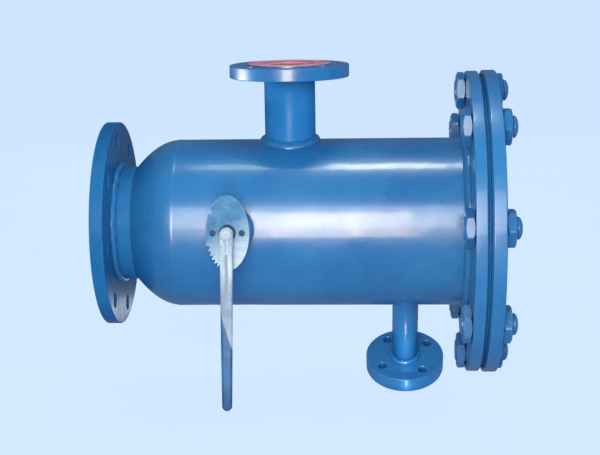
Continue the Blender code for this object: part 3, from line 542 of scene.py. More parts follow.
def saddle_weld(name, place, r, leg, mat=None, seed=0.0):
    """A fillet weld where a round stub stands on the body shell."""
    n = int(TAU * r / 0.9)
    turn = place.to_3x3()
    path, va, vb, vn = [], [], [], []
    for i in range(n):
        c, s = math.cos(TAU * i / n), math.sin(TAU * i / n)
        z = math.sqrt(SHELL_R ** 2 - (r * s) ** 2)
        path.append(place @ Vector((r * c * MM, r * s * MM, z * MM)))
        skin, wall = Vector((0, r * s, z)) / SHELL_R, Vector((c, s, 0))
        away = (wall - skin * wall.dot(skin)).normalized()
        va.append(turn @ (away * leg))
        vb.append(turn @ Vector((0, 0, leg)))
        vn.append(turn @ ((away + Vector((0, 0, 1))).normalized() * leg * 0.22))
    return weld(name, path, va, vb, vn, mat, seed=seed)


def stub(r_out, r_in, top, place, segs=96, lip=0.8):
    """A pipe that stands on the shell, its foot following the shell's curve."""
    bm = bmesh.new()
    rings = []
    for r, h in ((r_out, None), (r_out, top - lip), (r_out - lip, top), (r_in + lip, top),
                 (r_in, top - lip), (r_in, None)):
        ring = []
        for i in range(segs):
            c, s = math.cos(TAU * i / segs), math.sin(TAU * i / segs)
            z = math.sqrt(SHELL_R ** 2 - (r * s) ** 2) - 1.2 if h is None else h
            ring.append(bm.verts.new(place @ Vector((r * c * MM, r * s * MM, z * MM))))
        rings.append(ring)
    for a, b in zip(rings, rings[1:] + rings[:1]):
        for i in range(segs):
            j = (i + 1) % segs
            bm.faces.new((a[i], a[j], b[j], b[i]))
    return as_mesh(bm)


def grooves(r0, r1, h, depth, pitch, up=1.0):
    """Gasket-face grooves between two radii, from the outside in."""
    count = int((r0 - r1) / pitch)
    out = []
    for k in range(count):
        r = r0 - (k + 0.15) * (r0 - r1) / count
        w = (r0 - r1) / count
        out += [(r, h), (r - 0.35 * w, h - up * depth), (r - 0.70 * w, h)]
    return out


# ---------------------------------------------------------------- inlet end
SEG = 192
profile = rounded([(INLET_R, INLET_T, 1.4), (INLET_R, INLET_FACE_T, 1.2),
                   (INLET_FACE_R + 0.8, INLET_FACE_T, 0.0),
                   (INLET_FACE_R, INLET_FACE_T - 0.8, 0.0), (INLET_FACE_R, 0.0, 0.4)]
                  + [(r, h, 0.0) for r, h in grooves(INLET_FACE_R - 2.0, NECK_R + 7.0, 0.0, 0.35,
                                                     1.5, -1.0)]
                  + [(NECK_R + 1.5, 0.0, 0.0), (NECK_R + 0.2, 1.3, 0.0),
                     (NECK_R + 0.2, INLET_T, 0.0)], 3)
mesh = drilled(profile, SEG, AXIS, [(INLET_HOLE_R, INLET_PCR, 8, -90.0 - INLET_CLOCK,
                                     INLET_FACE_T, INLET_T)])
piece("inlet_flange_turned", mesh, BLUE_INLET, stands_for=["inlet_flange"],
      second=RED, pick=lambda c, n: c.x < 1.2 and n.x < -0.2 and c.yz.length < INLET_FACE_R + 0.5)


def dome_radius(x):
    u = (x - NECK_X1) / (SHELL_X0 - NECK_X1)
    return NECK_R + (SHELL_R - NECK_R) * (1.0 - (1.0 - u) ** 2)


STEPS = 30
outer = [(dome_radius(NECK_X1 + (SHELL_X0 - NECK_X1) * i / STEPS),
          NECK_X1 + (SHELL_X0 - NECK_X1) * i / STEPS) for i in range(STEPS + 1)]
inner = []
for i in range(1, STEPS):
    (ra, xa), (r, x), (rb, xb) = outer[i - 1], outer[i], outer[i + 1]
    slope = math.atan2(rb - ra, xb - xa)
    r, x = r - SHELL_WALL * math.cos(slope), x + SHELL_WALL * math.sin(slope)
    if x < SHELL_X0 - 2.0 and r > NECK_R - NECK_WALL + 0.5:
        inner.append((r, x))
profile = (list(reversed(outer)) + [(NECK_R, NECK_X1 - 6), (NECK_R, 24.0), (NECK_R, NECK_X0),
                                    (NECK_R - NECK_WALL, NECK_X0),
                                    (NECK_R - NECK_WALL, NECK_X1 + 4.0)]
           + inner + [(SHELL_R - SHELL_WALL, SHELL_X0)])
bm = bmesh.new()
turned(bm, profile, SEG, AXIS)
piece("inlet_reducer_spun", as_mesh(bm), BLUE_DOME, stands_for=["inlet_reducer"],
      angle=50.0, second=INSIDE, weighted=False,
      pick=lambda c, n: n.yz.dot(c.yz) < 0 or (n.x < -0.7 and c.x < NECK_X0 + 1))
ring_weld("inlet_neck_weld", AXIS, NECK_R, INLET_T, (6.5, 0.0), (0.0, 6.5), (1.3, 1.3),
          BLUE_BEAD_HIGHLIT, 1.0)
ring_weld("inlet_face_weld", AXIS, NECK_R + 0.2, NECK_X0, (0.0, -2.4), (-3.6, 0.0), (-0.5, -0.5),
          RED, 2.0)
ring_weld("reducer_shell_weld", AXIS, SHELL_R - 0.25, SHELL_X0 - 1.0, (-0.2, -4.2), (0.1, 4.2),
          (0.5, 0.0), BLUE, 4.0)

# ---------------------------------------------------------------- body shell
bm = bmesh.new()
stops = [SHELL_X0 + (SHELL_X1 - SHELL_X0) * k / 16 for k in range(17)]
turned(bm, [(SHELL_R, x) for x in reversed(stops)]
       + [(SHELL_R - SHELL_WALL, x) for x in stops], SEG, AXIS)
shell = as_mesh(bm)
bm = bmesh.new()
for place, r in ((UPRIGHT, OUT_R - OUT_WALL), (DRAIN, DRAIN_R - DRAIN_WALL), (SPINDLE, PACK_R)):
    turned(bm, [(0, 160), (r, 160), (r, 60), (0, 60)], 64, place, False)
shell = boolean(shell, [(as_mesh(bm), "DIFFERENCE")])
piece("body_shell_rolled", shell, BLUE, stands_for=["body_shell"],
      second=INSIDE, angle=50.0, weighted=False,
      pick=lambda c, n: c.yz.length < SHELL_R - 0.5)

# ---------------------------------------------------------------- outlet nozzle
piece("outlet_pipe_stub", stub(OUT_R, OUT_R - OUT_WALL, OUT_TOP - 3.5, UPRIGHT), BLUE_STUB,
      stands_for=["outlet_pipe"], second=INSIDE, angle=50.0, weighted=False,
      pick=lambda c, n: (Vector((c.x - OUT_X, c.y)).length < OUT_R - 0.5))
low = OUT_TOP - OUT_T
profile = rounded([(OUT_FACE_R, OUT_TOP, 0.4), (OUT_FACE_R + 0.3, OUT_TOP - OUT_FACE_T, 0.0),
                   (OUT_FLANGE_R, OUT_TOP - OUT_FACE_T, 1.3), (OUT_FLANGE_R, low, 1.3),
                   (OUT_R + 0.2, low, 0.0), (OUT_R + 0.2, OUT_TOP, 0.5)]
                  + [(r, h, 0.0) for r, h in
                     reversed(grooves(OUT_FACE_R - 1.8, OUT_R + 5.0, OUT_TOP, 0.35, 1.5))], 3)
piece("outlet_flange_turned",
      drilled(profile, 160, UPRIGHT, [(OUT_HOLE_R, OUT_PCR, 4, 45.0, low, OUT_TOP - OUT_FACE_T)]),
      BLUE_NOZZLE, stands_for=["outlet_flange"], second=RED,
      pick=lambda c, n: n.z > 0.3 and c.z > OUT_TOP - 0.8)
saddle_weld("outlet_saddle_weld", UPRIGHT, OUT_R, 7.0, BLUE_NOZZLE, 5.0)
ring_weld("outlet_flange_weld", UPRIGHT, OUT_R, low, (5.0, 0.0), (0.0, -5.0), (1.0, -1.0),
          BLUE_NOZZLE, 6.0)
ring_weld("outlet_face_weld", UPRIGHT, OUT_R + 0.2, OUT_TOP - 3.5, (0.0, 2.4), (-3.2, 0.0),
          (-0.5, 0.5), RED, 7.0)

# ---------------------------------------------------------------- drain nozzle
DRAIN_END = DRAIN_BACK + DRAIN_T
piece("drain_pipe_stub", stub(DRAIN_R, DRAIN_R - DRAIN_WALL, DRAIN_END - 3.0, DRAIN, 72),
      BLUE_DRAIN_LIT, stands_for=["drain_pipe"], second=INSIDE, angle=50.0,
      weighted=False,
      pick=lambda c, n: (DRAIN.inverted() @ (c * MM)).xy.length < (DRAIN_R - 0.5) * MM)
profile = rounded([(DRAIN_FACE_R, DRAIN_END, 0.4),
                   (DRAIN_FACE_R + 0.3, DRAIN_END - DRAIN_FACE_T, 0.0),
                   (DRAIN_FLANGE_R, DRAIN_END - DRAIN_FACE_T, 1.3),
                   (DRAIN_FLANGE_R, DRAIN_BACK, 1.3),
                   (DRAIN_R + 0.2, DRAIN_BACK, 0.0), (DRAIN_R + 0.2, DRAIN_END, 0.5)]
                  + [(r, h, 0.0) for r, h in
                     reversed(grooves(DRAIN_FACE_R - 1.5, DRAIN_R + 4.0, DRAIN_END, 0.3, 1.4))], 3)
drain_down = DRAIN.to_3x3() @ Vector((0, 0, 1))
piece("drain_flange_turned",
      drilled(profile, 128, DRAIN, [(DRAIN_HOLE_R, DRAIN_PCR, 4, DRAIN_CLOCK, DRAIN_BACK,
                                     DRAIN_END - DRAIN_FACE_T)]),
      BLUE_DRAIN_LIT, stands_for=["drain_flange"], second=RED,
      pick=lambda c, n: n.dot(drain_down) > 0.3
      and (DRAIN.inverted() @ (c * MM)).z > (DRAIN_END - 0.8) * MM)
saddle_weld("drain_saddle_weld", DRAIN, DRAIN_R, 5.0, BLUE_DRAIN_LIT, 8.0)
ring_weld("drain_flange_weld", DRAIN, DRAIN_R, DRAIN_BACK, (4.5, 0.0), (0.0, -4.5), (0.9, -0.9),
          BLUE_DRAIN_LIT, 9.0)
ring_weld("drain_face_weld", DRAIN, DRAIN_R + 0.2, DRAIN_END - 3.0, (0.0, 2.0), (-2.6, 0.0),
          (-0.4, 0.4), RED, 10.0)

# ---------------------------------------------------------------- cover end
SEG_BIG = 224
profile = rounded([(FACE_R, FLANGE_X1 + FACE_T, 0.4), (FACE_R + 0.2, FLANGE_X1, 0.0),
                   (FLANGE_R, FLANGE_X1, 1.6), (FLANGE_R, FLANGE_X0, 1.6),
                   (SHELL_R + 0.2, FLANGE_X0, 0.0), (SHELL_R + 0.2, FLANGE_X1 + FACE_T, 0.5)], 3)
piece("body_flange_turned",
      drilled(profile, SEG_BIG, AXIS, [(BOLT_HOLE_R, BOLT_PCR, BOLT_N, -90.0 - BOLT_CLOCK,
                                        FLANGE_X0, FLANGE_X1)]),
      BLUE, stands_for=["body_flange"], second=GAP_SHADE_BLUE,
      pick=lambda c, n: c.x > FLANGE_X1 + 0.02)
ring_weld("body_flange_weld", AXIS, SHELL_R, FLANGE_X0, (8.0, 0.0), (0.0, -8.0), (1.5, -1.5),
          BLUE, 11.0)
profile = rounded([(0, COVER_X1, 0.0), (COVER_R, COVER_X1, 1.8), (COVER_R, COVER_X0, 1.8),
                   (FACE_R + 0.2, COVER_X0, 0.0), (FACE_R, COVER_X0 - FACE_T, 0.4),
                   (0, COVER_X0 - FACE_T, 0.0)], 3)
profile = [profile[0]] + [(r, COVER_X1) for r in (40.0, 90.0, 140.0)] + profile[1:]
piece("end_cover_turned",
      drilled(profile, SEG_BIG, AXIS, [(BOLT_HOLE_R, BOLT_PCR, BOLT_N, -90.0 - BOLT_CLOCK,
                                        COVER_X0, COVER_X1)], closed=False),
      BLUE, stands_for=["end_cover"], second=GAP_SHADE_BLUE,
      pick=lambda c, n: c.x < COVER_X0 - 0.02)
g0 = FLANGE_X1 + FACE_T + GAP
profile = rounded([(FACE_R - 2.0, g0 + GASKET_T, 0.6), (FACE_R - 2.0, g0, 0.6),
                   (SHELL_R, g0, 0.3), (SHELL_R, g0 + GASKET_T, 0.3)], 2)
bm = bmesh.new()
turned(bm, profile, SEG_BIG, AXIS)
gasket = as_mesh(bm)
bm = bmesh.new()
for i in range(BOLT_N):
    spot = (AXIS @ Matrix.Rotation(math.radians(-90.0 - BOLT_CLOCK) + TAU * i / BOLT_N, 4, "Z")
            @ Matrix.Translation((BOLT_PCR * MM, 0, 0)))
    turned(bm, [(0, g0 + 6), (BOLT_HOLE_R, g0 + 6), (BOLT_HOLE_R, g0 - 6), (0, g0 - 6)], 40, spot,
           False)
piece("gasket_ring", boolean(gasket, [(as_mesh(bm), "DIFFERENCE")]), GASKET,
      stands_for=["cover_gasket"], second=GAP_SHADE_BLUE, weighted=False,
      pick=lambda c, n: c.yz.length > FACE_R - 4.0)


def nut_mesh(place, corner):
    """Hexagon nut, both faces chamfered at 30 degrees, bore countersunk."""
    flat, segs = NUT_AC_R * math.cos(math.pi / 6), 96
    bore, cone, tan = STUD_R + 0.15, flat * 0.975, math.tan(math.radians(30))
    bm = bmesh.new()
    rows = []
    for i in range(segs):
        deg = 360.0 * i / segs
        off = ((deg - corner) % 60.0) - 30.0
        r = min(flat / math.cos(math.radians(off)), NUT_AC_R - 0.35)
        drop = (r - cone) * tan
        rows.append([bm.verts.new(place @ Vector((q * MM * math.cos(math.radians(deg)),
                                                  q * MM * math.sin(math.radians(deg)), h * MM)))
                     for q, h in ((bore + 1.3, 0), (cone, 0), (r, drop), (r, NUT_T - drop),
                                  (cone, NUT_T), (bore + 1.3, NUT_T), (bore, NUT_T - 1.2),
                                  (bore, 1.2))])
    for a, b in zip(rows, rows[1:] + rows[:1]):
        for k in range(len(a)):
            m = (k + 1) % len(a)
            bm.faces.new((a[k], a[m], b[m], b[k]))
    return as_mesh(bm)


def stud_mesh(place):
    """Threaded stud, painted over, with a domed outer end."""
    pitch, depth, segs = 3.5, 1.15, 40
    bm = bmesh.new()
    rings = []
    count = int((STUD_X1 - STUD_X0) / (pitch / 6))
    for j in range(count + 1):
        h = STUD_X0 + (STUD_X1 - STUD_X0) * j / count
        dome = min(1.0, (STUD_X1 - h) / 7.0)
        limit = STUD_R * math.sqrt(max(0.0, 1 - (1 - dome) ** 2.2))
        limit = min(limit, STUD_R - 1.6 + (h - STUD_X0) * 1.0)
        if limit < 0.5:
            continue
        ring = []
        for i in range(segs):
            f = (h / pitch - i / segs) % 1.0
            r = min(STUD_R - depth * (1 - abs(2 * f - 1)) ** 1.2, limit)
            ring.append(bm.verts.new(place @ Vector((r * MM * math.cos(TAU * i / segs),
                                                     r * MM * math.sin(TAU * i / segs), h * MM))))
        rings.append(ring)
    for a, b in zip(rings, rings[1:]):
        for i in range(segs):
            j = (i + 1) % segs
            bm.faces.new((a[i], a[j], b[j], b[i]))
    for ring, h in ((rings[0], STUD_X0), (rings[-1], STUD_X1)):
        tip = bm.verts.new(place @ Vector((0, 0, h * MM)))
        for i in range(segs):
            bm.faces.new((ring[i], ring[(i + 1) % segs], tip))
    return as_mesh(bm)


for i in range(BOLT_N):
    angle = math.radians(BOLT_CLOCK + 360.0 * i / BOLT_N)
    off = Matrix.Translation((0, -BOLT_PCR * math.cos(angle) * MM, BOLT_PCR * math.sin(angle) * MM))
    spin = Matrix.Rotation(math.radians(37.0 * i), 4, "Z")
    piece(f"stud_{i + 1}", stud_mesh(off @ along_x() @ spin), BLUE_NUT,
          stands_for=[f"cover_stud_{i + 1}"], angle=65.0, weighted=False)
    for side, x0, corner in (("body", FLANGE_X0 - GAP - NUT_T, 108.0 if i < 3 else 119.0),
                             ("cover", COVER_X1 + GAP, 90.0)):
        piece(f"hex_{side}_nut_{i + 1}", nut_mesh(off @ along_x(x0), corner), BLUE_NUT,
              stands_for=[f"{side}_nut_{i + 1}"], angle=25.0)

# ---------------------------------------------------------------- spindle boss
bm = bmesh.new()
rings = []
for r, h in ((BOSS_R, None), (BOSS_R, BOSS_TOP - 1.2), (BOSS_R - 1.2, BOSS_TOP),
             (PACK_R + 0.8, BOSS_TOP), (PACK_R, BOSS_TOP - 0.8), (PACK_R, PACK_Z0),
             (SPINDLE_R + 0.3, PACK_Z0), (SPINDLE_R + 0.3, 118.5), (PACK_R + 2, None)):
    ring = []
    for i in range(96):
        c, s = math.cos(TAU * i / 96), math.sin(TAU * i / 96)
        z = math.sqrt(SHELL_R ** 2 - (r * s) ** 2) - 1.2 if h is None else h
        ring.append(bm.verts.new(SPINDLE @ Vector((r * c * MM, r * s * MM, z * MM))))
    rings.append(ring)
for a, b in zip(rings, rings[1:] + rings[:1]):
    for i in range(96):
        j = (i + 1) % 96
        bm.faces.new((a[i], a[j], b[j], b[i]))
piece("spindle_boss_turned", as_mesh(bm), BLUE, stands_for=["spindle_boss"])
saddle_weld("boss_saddle_weld", SPINDLE, BOSS_R, 5.5, BLUE, 12.0)
bm = bmesh.new()
turned(bm, rounded([(PACK_R - 0.3, BOSS_TOP - 0.5, 0.6), (PACK_R - 0.3, PACK_Z1 + GAP, 0.0),
                    (SPINDLE_R + 0.3, PACK_Z1 + GAP, 0.0), (SPINDLE_R + 0.3, BOSS_TOP - 0.5, 0.6)],
                   2), 64, SPINDLE)
piece("gland_follower", as_mesh(bm), GLAND_PAINTED_SHADE, stands_for=["gland_nut"])


# ---------------------------------------------------------------- index plate
def extruded(points, z0, z1, place):
    bm = bmesh.new()
    low = [bm.verts.new(place @ Vector((x * MM, y * MM, z0 * MM))) for x, y in points]
    high = [bm.verts.new(place @ Vector((x * MM, y * MM, z1 * MM))) for x, y in points]
    bm.faces.new(list(reversed(low)))
    bm.faces.new(high)
    n = len(points)
    for i in range(n):
        j = (i + 1) % n
        bm.faces.new((low[i], low[j], high[j], high[i]))
    return as_mesh(bm)


points = [(360.0 * i / 144, 0.0) for i in range(144)
          if not TOOTH_FROM - 3 < 360.0 * i / 144 < TOOTH_TO + 3]
step = (TOOTH_TO - TOOTH_FROM) / TOOTH_N
for k in range(TOOTH_N + 1):
    deg = TOOTH_FROM + step * k
    points.append((deg, 0.6))
    if k < TOOTH_N:
        points += [(deg + step * 0.40, -TOOTH_DEPTH), (deg + step * 0.62, -TOOTH_DEPTH)]
points.sort()
oval = [((PLATE_A + push) * math.cos(math.radians(d)), (PLATE_B + push) * math.sin(math.radians(d)))
        for d, push in points]
bm = bmesh.new()
for x, y, r in ((0, 0, 11.4), (-SCREW_X, 0, 3.2), (SCREW_X, 0, 3.2), (-22.6, 27.0, 3.2)):
    turned(bm, [(0, 160), (r, 160), (r, 140), (0, 140)], 40,
           SPINDLE @ Matrix.Translation((x * MM, y * MM, 0)), False)
plate = boolean(extruded(oval, PLATE_Z0, PLATE_Z0 + PLATE_T, SPINDLE), [(as_mesh(bm), "DIFFERENCE")])
piece("index_plate_toothed", plate, ZINC, stands_for=["index_plate"], bevel=0.5)

HEAD = PLATE_Z0 + PLATE_T + GAP
for i, s in ((1, -1), (2, 1)):
    spot = SPINDLE @ Matrix.Translation((s * SCREW_X * MM, 0, 0))
    bm = bmesh.new()
    turned(bm, rounded([(0, HEAD + 3.8, 0.0), (3.8, HEAD + 3.8, 1.5), (3.8, HEAD, 0.2),
                        (2.8, HEAD, 0.0), (2.8, BOSS_TOP - 12, 0.0), (0, BOSS_TOP - 12, 0.0)], 4),
           48, spot, False)
    head = as_mesh(bm)
    bm = bmesh.new()
    turned(bm, [(0, HEAD + 6), (2.0, HEAD + 6), (2.0, HEAD + 1.6), (0, HEAD + 1.6)], 6, spot, False)
    piece(f"index_cap_screw_{i}", boolean(head, [(as_mesh(bm), "DIFFERENCE")]), BLACK_SCREW,
          stands_for=[f"index_screw_{i}"])


# ---------------------------------------------------------------- hand lever
def centre(y):
    return LEVER_DRIFT * y / LEVER_TIP


def half_width(y):
    return LEVER_HUB_R + (LEVER_END_R - LEVER_HUB_R) * min(1.0, max(0.0, y / LEVER_TIP))


def bar(y_low, grow, r_edge, place, z0=LEVER_Z0, z1=LEVER_Z1):
    """The lever's outline from its rounded hub to y_low, with softly rounded edges."""
    pts = [((LEVER_HUB_R + grow) * math.cos(math.pi * k / 24),
            (LEVER_HUB_R + grow) * math.sin(math.pi * k / 24)) for k in range(25)]
    end = LEVER_END_R + grow
    yc = y_low + LEVER_END_R
    ys = [yc * k / 12 for k in range(1, 12)]
    left = [(centre(y) - half_width(y) - grow, y) for y in ys]
    right = [(centre(y) + half_width(y) + grow, y) for y in reversed(ys)]
    tip = [(centre(yc) - end * math.cos(math.pi * k / 20), yc - end * math.sin(math.pi * k / 20))
           for k in range(21)]
    mesh = extruded(pts + left + tip + right, z0, z1, Matrix.Identity(4))
    bm = bmesh.new()
    bm.from_mesh(mesh)
    rims = [e for e in bm.edges if all(f.normal.length for f in e.link_faces)
            and abs(sum(abs(f.normal.z) for f in e.link_faces) - 1.0) < 0.1]
    bmesh.ops.bevel(bm, geom=rims, offset=r_edge * MM, segments=5, profile=0.5, affect="EDGES",
                    clamp_overlap=True)
    bm.transform(place)
    bmesh.ops.recalc_face_normals(bm, faces=bm.faces)
    return bm


slope = Matrix.Translation((0, (LEVER_SPLIT_TOP + LEVER_SPLIT_LOW) / 2 * MM, 0)) @ Matrix.Rotation(
    math.atan2(LEVER_SPLIT_LOW - LEVER_SPLIT_TOP, 2 * LEVER_END_R), 4, "Z")
cut_at = SPINDLE @ slope @ Vector((0, 0, 0))
cut_dir = (SPINDLE @ slope).to_3x3() @ Vector((0, 1, 0))


def halved(bm, keep_up):
    """Keeps one side of the slanted joint and closes it."""
    hub = SPINDLE @ Vector((0, 0, LEVER_Z0 * MM))
    toward = 1.0 if (hub - cut_at).dot(cut_dir) > 0 else -1.0
    normal = cut_dir * (toward if keep_up else -toward)
    got = bmesh.ops.bisect_plane(bm, geom=bm.verts[:] + bm.edges[:] + bm.faces[:],
                                 plane_co=cut_at, plane_no=-normal, clear_outer=True)
    rim = [e for e in got["geom_cut"] if isinstance(e, bmesh.types.BMEdge)]
    bmesh.ops.holes_fill(bm, edges=rim, sides=0)
    return bm


arm = as_mesh(halved(bar(LEVER_TIP, 0.0, 2.8, SPINDLE), True))
bm = bmesh.new()
slot_pts = ([(2.0 * math.cos(math.pi * k / 12), -28 + 2.0 * math.sin(math.pi * k / 12))
             for k in range(13)]
            + [(-1.8 * math.cos(math.pi * k / 12), -74 - 1.8 * math.sin(math.pi * k / 12))
               for k in range(13)])
groove = extruded(slot_pts, LEVER_Z1 - 0.9, LEVER_Z1 + 3, SPINDLE)
bm.free()
arm = boolean(arm, [(groove, "DIFFERENCE")])
bm = bmesh.new()
turned(bm, [(0, LEVER_Z0 + 2), (LEVER_HUB_R - 0.4, LEVER_Z0 + 2), (LEVER_HUB_R - 0.4, 156.2),
            (LEVER_HUB_R - 1.0, 155.6), (0, 155.6)], 48, SPINDLE, False)
arm = boolean(arm, [(as_mesh(bm), "UNION")])
to_lever = SPINDLE.inverted()
piece("hand_lever_arm", arm, SILVER, LEVER, ["hand_lever"], angle=38.0,
      second=GROOVE,
      pick=lambda c, n: abs((to_lever @ (c * MM)).x) < 0.0024
      and LEVER_Z1 - 1.0 < (to_lever @ (c * MM)).z / MM < LEVER_Z1 - 0.3
      and -77.0 < (to_lever @ (c * MM)).y / MM < -25.0)
piece("lever_grip_dipped", as_mesh(halved(bar(LEVER_TIP, 0.25, 3.2, SPINDLE, LEVER_Z0 - 0.25,
                                              LEVER_Z1 + 0.25), False)),
      GRIP, LEVER, ["lever_grip"], angle=38.0)
bm = bmesh.new()
turned(bm, rounded([(0, LEVER_Z1 + 4.2, 0.0), (4.4, LEVER_Z1 + 4.2, 1.6), (7.6, LEVER_Z1 + 2.2, 1.2),
                    (7.6, LEVER_Z1 + GAP, 0.2), (2.5, LEVER_Z1 + GAP, 0.0),
                    (2.5, LEVER_Z1 - 12.6, 0.0), (0, LEVER_Z1 - 12.6, 0.0)], 4), 56, SPINDLE, False)
head = as_mesh(bm)
bm = bmesh.new()
turned(bm, [(0, LEVER_Z1 + 7), (2.9, LEVER_Z1 + 7), (2.9, LEVER_Z1 + 1.8), (0, LEVER_Z1 + 1.8)], 6,
       SPINDLE, False)
piece("lever_cap_screw", boolean(head, [(as_mesh(bm), "DIFFERENCE")]), SCREW_STEEL, LEVER,
      ["lever_screw"])


# ---------------------------------------------------------------- inside
def perforated(name, x0, x1, blank0, blank1, cols, pitch, hole, stands_for):
    """A rolled sheet with staggered round holes."""
    rows = max(1, int((x1 - x0 - blank0 - blank1) / pitch))
    y0, y1 = x0 + blank0, x1 - blank1
    bm = bmesh.new()
    wide = TAU / cols

    def at(turn, x, r):
        return bm.verts.new(AXIS @ Vector((r * MM * math.cos(turn), r * MM * math.sin(turn), x * MM)))

    skins = []
    for r, flip in ((SCREEN_RO, False), (SCREEN_RI, True)):
        edge = [[at(i * wide / 2, y0 + (y1 - y0) * j / rows, r) for i in range(2 * cols)]
                for j in range(rows + 1)]
        ends = [[at(i * wide / 2, x, r) for i in range(2 * cols)] for x in (x0, x1)]
        for a, b in ((ends[0], edge[0]), (edge[-1], ends[1])):
            for i in range(2 * cols):
                j = (i + 1) % (2 * cols)
                bm.faces.new((a[i], a[j], b[j], b[i]))
        rims = []
        for j in range(rows):
            mid = y0 + (y1 - y0) * (j + 0.5) / rows
            side = [at((c + (j % 2) * 0.5) * wide, mid, r) for c in range(cols)]
            for c in range(cols):
                i = (2 * c + j % 2) % (2 * cols)
                i1, i2 = (i + 1) % (2 * cols), (i + 2) % (2 * cols)
                around = [side[(c + 1) % cols], edge[j + 1][i2], edge[j + 1][i1], edge[j + 1][i],
                          side[c], edge[j][i], edge[j][i1], edge[j][i2]]
                turn0 = (c + (j % 2) * 0.5 + 0.5) * wide
                rim = [at(turn0 + hole / SCREEN_RO * math.cos(TAU * k / 8),
                          mid + hole * math.sin(TAU * k / 8), r) for k in range(8)]
                for k in range(8):
                    m = (k + 1) % 8
                    bm.faces.new((around[k], around[m], rim[m], rim[k]))
                rims.append(rim)
        skins.append((rims, ends))
    for rim_out, rim_in in zip(skins[0][0], skins[1][0]):
        for k in range(8):
            m = (k + 1) % 8
            bm.faces.new((rim_out[k], rim_out[m], rim_in[m], rim_in[k]))
    for out, inn in zip(skins[0][1], skins[1][1]):
        for i in range(2 * cols):
            j = (i + 1) % (2 * cols)
            bm.faces.new((out[i], out[j], inn[j], inn[i]))
    return piece(name, as_mesh(bm), STAINLESS, stands_for=stands_for, angle=40.0,
                 weighted=False)


perforated("front_basket_sheet", PART_X1 + GAP, SEAT_X0 - GAP, 9.5, 6.5, 60, 6.2, 2.2,
           ["screen_front"])
perforated("rear_basket_sheet", SEAT_X1 + GAP, SCREEN_X1, 8, 14, 60, 6.2, 2.2, ["screen_rear"])

bm = bmesh.new()
turned(bm, [(SHELL_R - SHELL_WALL - GAP, PART_X1), (SHELL_R - SHELL_WALL - GAP, PART_X0),
            (63.0, PART_X0), (62.0, PART_X0 + 1.0), (62.0, PART_X1), (SCREEN_RO + GAP, PART_X1),
            (SCREEN_RO + GAP, PART_X1 + 8), (SCREEN_RO + 5, PART_X1 + 8), (SCREEN_RO + 5, PART_X1)],
       128, AXIS)
piece("front_partition_ring", as_mesh(bm), STEEL, stands_for=["front_partition"],
      angle=40.0)
bm = bmesh.new()
turned(bm, [(SEAT_RO, SEAT_X1 + 5), (SEAT_RO, SEAT_X0 - 5), (SCREEN_RO + GAP, SEAT_X0 - 5),
            (SCREEN_RO + GAP, SEAT_X0), (SEAT_RI + 1.5, SEAT_X0), (SEAT_RI, SEAT_X0 + 1.5),
            (SEAT_RI, SEAT_X1 - 1.5), (SEAT_RI + 1.5, SEAT_X1),
            (SCREEN_RO + GAP, SEAT_X1), (SCREEN_RO + GAP, SEAT_X1 + 5)], 128, AXIS)
seat = as_mesh(bm)
bm = bmesh.new()
for h0, h1 in ((70.0, 92.0), (-92.0, -70.0)):
    turned(bm, [(0, h1), (15.0, h1), (15.0, h0), (0, h0)], 48, SPINDLE, False)
bosses = as_mesh(bm)
bm = bmesh.new()
for h0, h1 in ((50.0, 100.0), (-88.0, -50.0)):
    turned(bm, [(0, h1), (11.3, h1), (11.3, h0), (0, h0)], 48, SPINDLE, False)
piece("seat_ring", boolean(seat, [(bosses, "UNION"), (as_mesh(bm), "DIFFERENCE")]), STEEL,
      stands_for=["diverter_seat"], angle=40.0)
bm = bmesh.new()
turned(bm, rounded([(0, DISC_T / 2, 0.0), (DISC_R, DISC_T / 2, 1.6), (DISC_R, -DISC_T / 2, 1.6),
                    (0, -DISC_T / 2, 0.0)], 4), 128, along_x(SPINDLE_X), False)
disc = as_mesh(bm)
bm = bmesh.new()
turned(bm, [(0, 59.0), (12.0, 59.0), (DISC_HUB_R, 57.5), (DISC_HUB_R, -57.5), (12.0, -59.0),
            (0, -59.0)], 48, SPINDLE, False)
hub = as_mesh(bm)
bm = bmesh.new()
turned(bm, [(0, 70.0), (SPINDLE_R + 0.2, 70.0), (SPINDLE_R + 0.2, -70.0), (0, -70.0)], 48, SPINDLE,
       False)
piece("butterfly_disc", boolean(disc, [(hub, "UNION"), (as_mesh(bm), "DIFFERENCE")]), BRONZE, LEVER,
      ["diverter_disc"], angle=40.0)

# CAD solids that stay as they are, out of sight inside, with their finish.
for name, mat in (("gland_packing", PACKING), ("spindle", STAINLESS), ("front_bush", BRONZE),
                  ("rear_bush", BRONZE), ("disc_pin_1", STEEL), ("disc_pin_2", STEEL),
                  ("rear_partition", STEEL), ("screen_end_ring", STAINLESS),
                  ("screen_screw_1", STEEL), ("screen_screw_2", STEEL),
                  ("screen_screw_3", STEEL), ("screen_screw_4", STEEL)):
    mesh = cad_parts[name].data
    for k in range(len(mesh.materials)):
        mesh.materials[k] = mat
    if not mesh.materials:
        mesh.materials.append(mat)

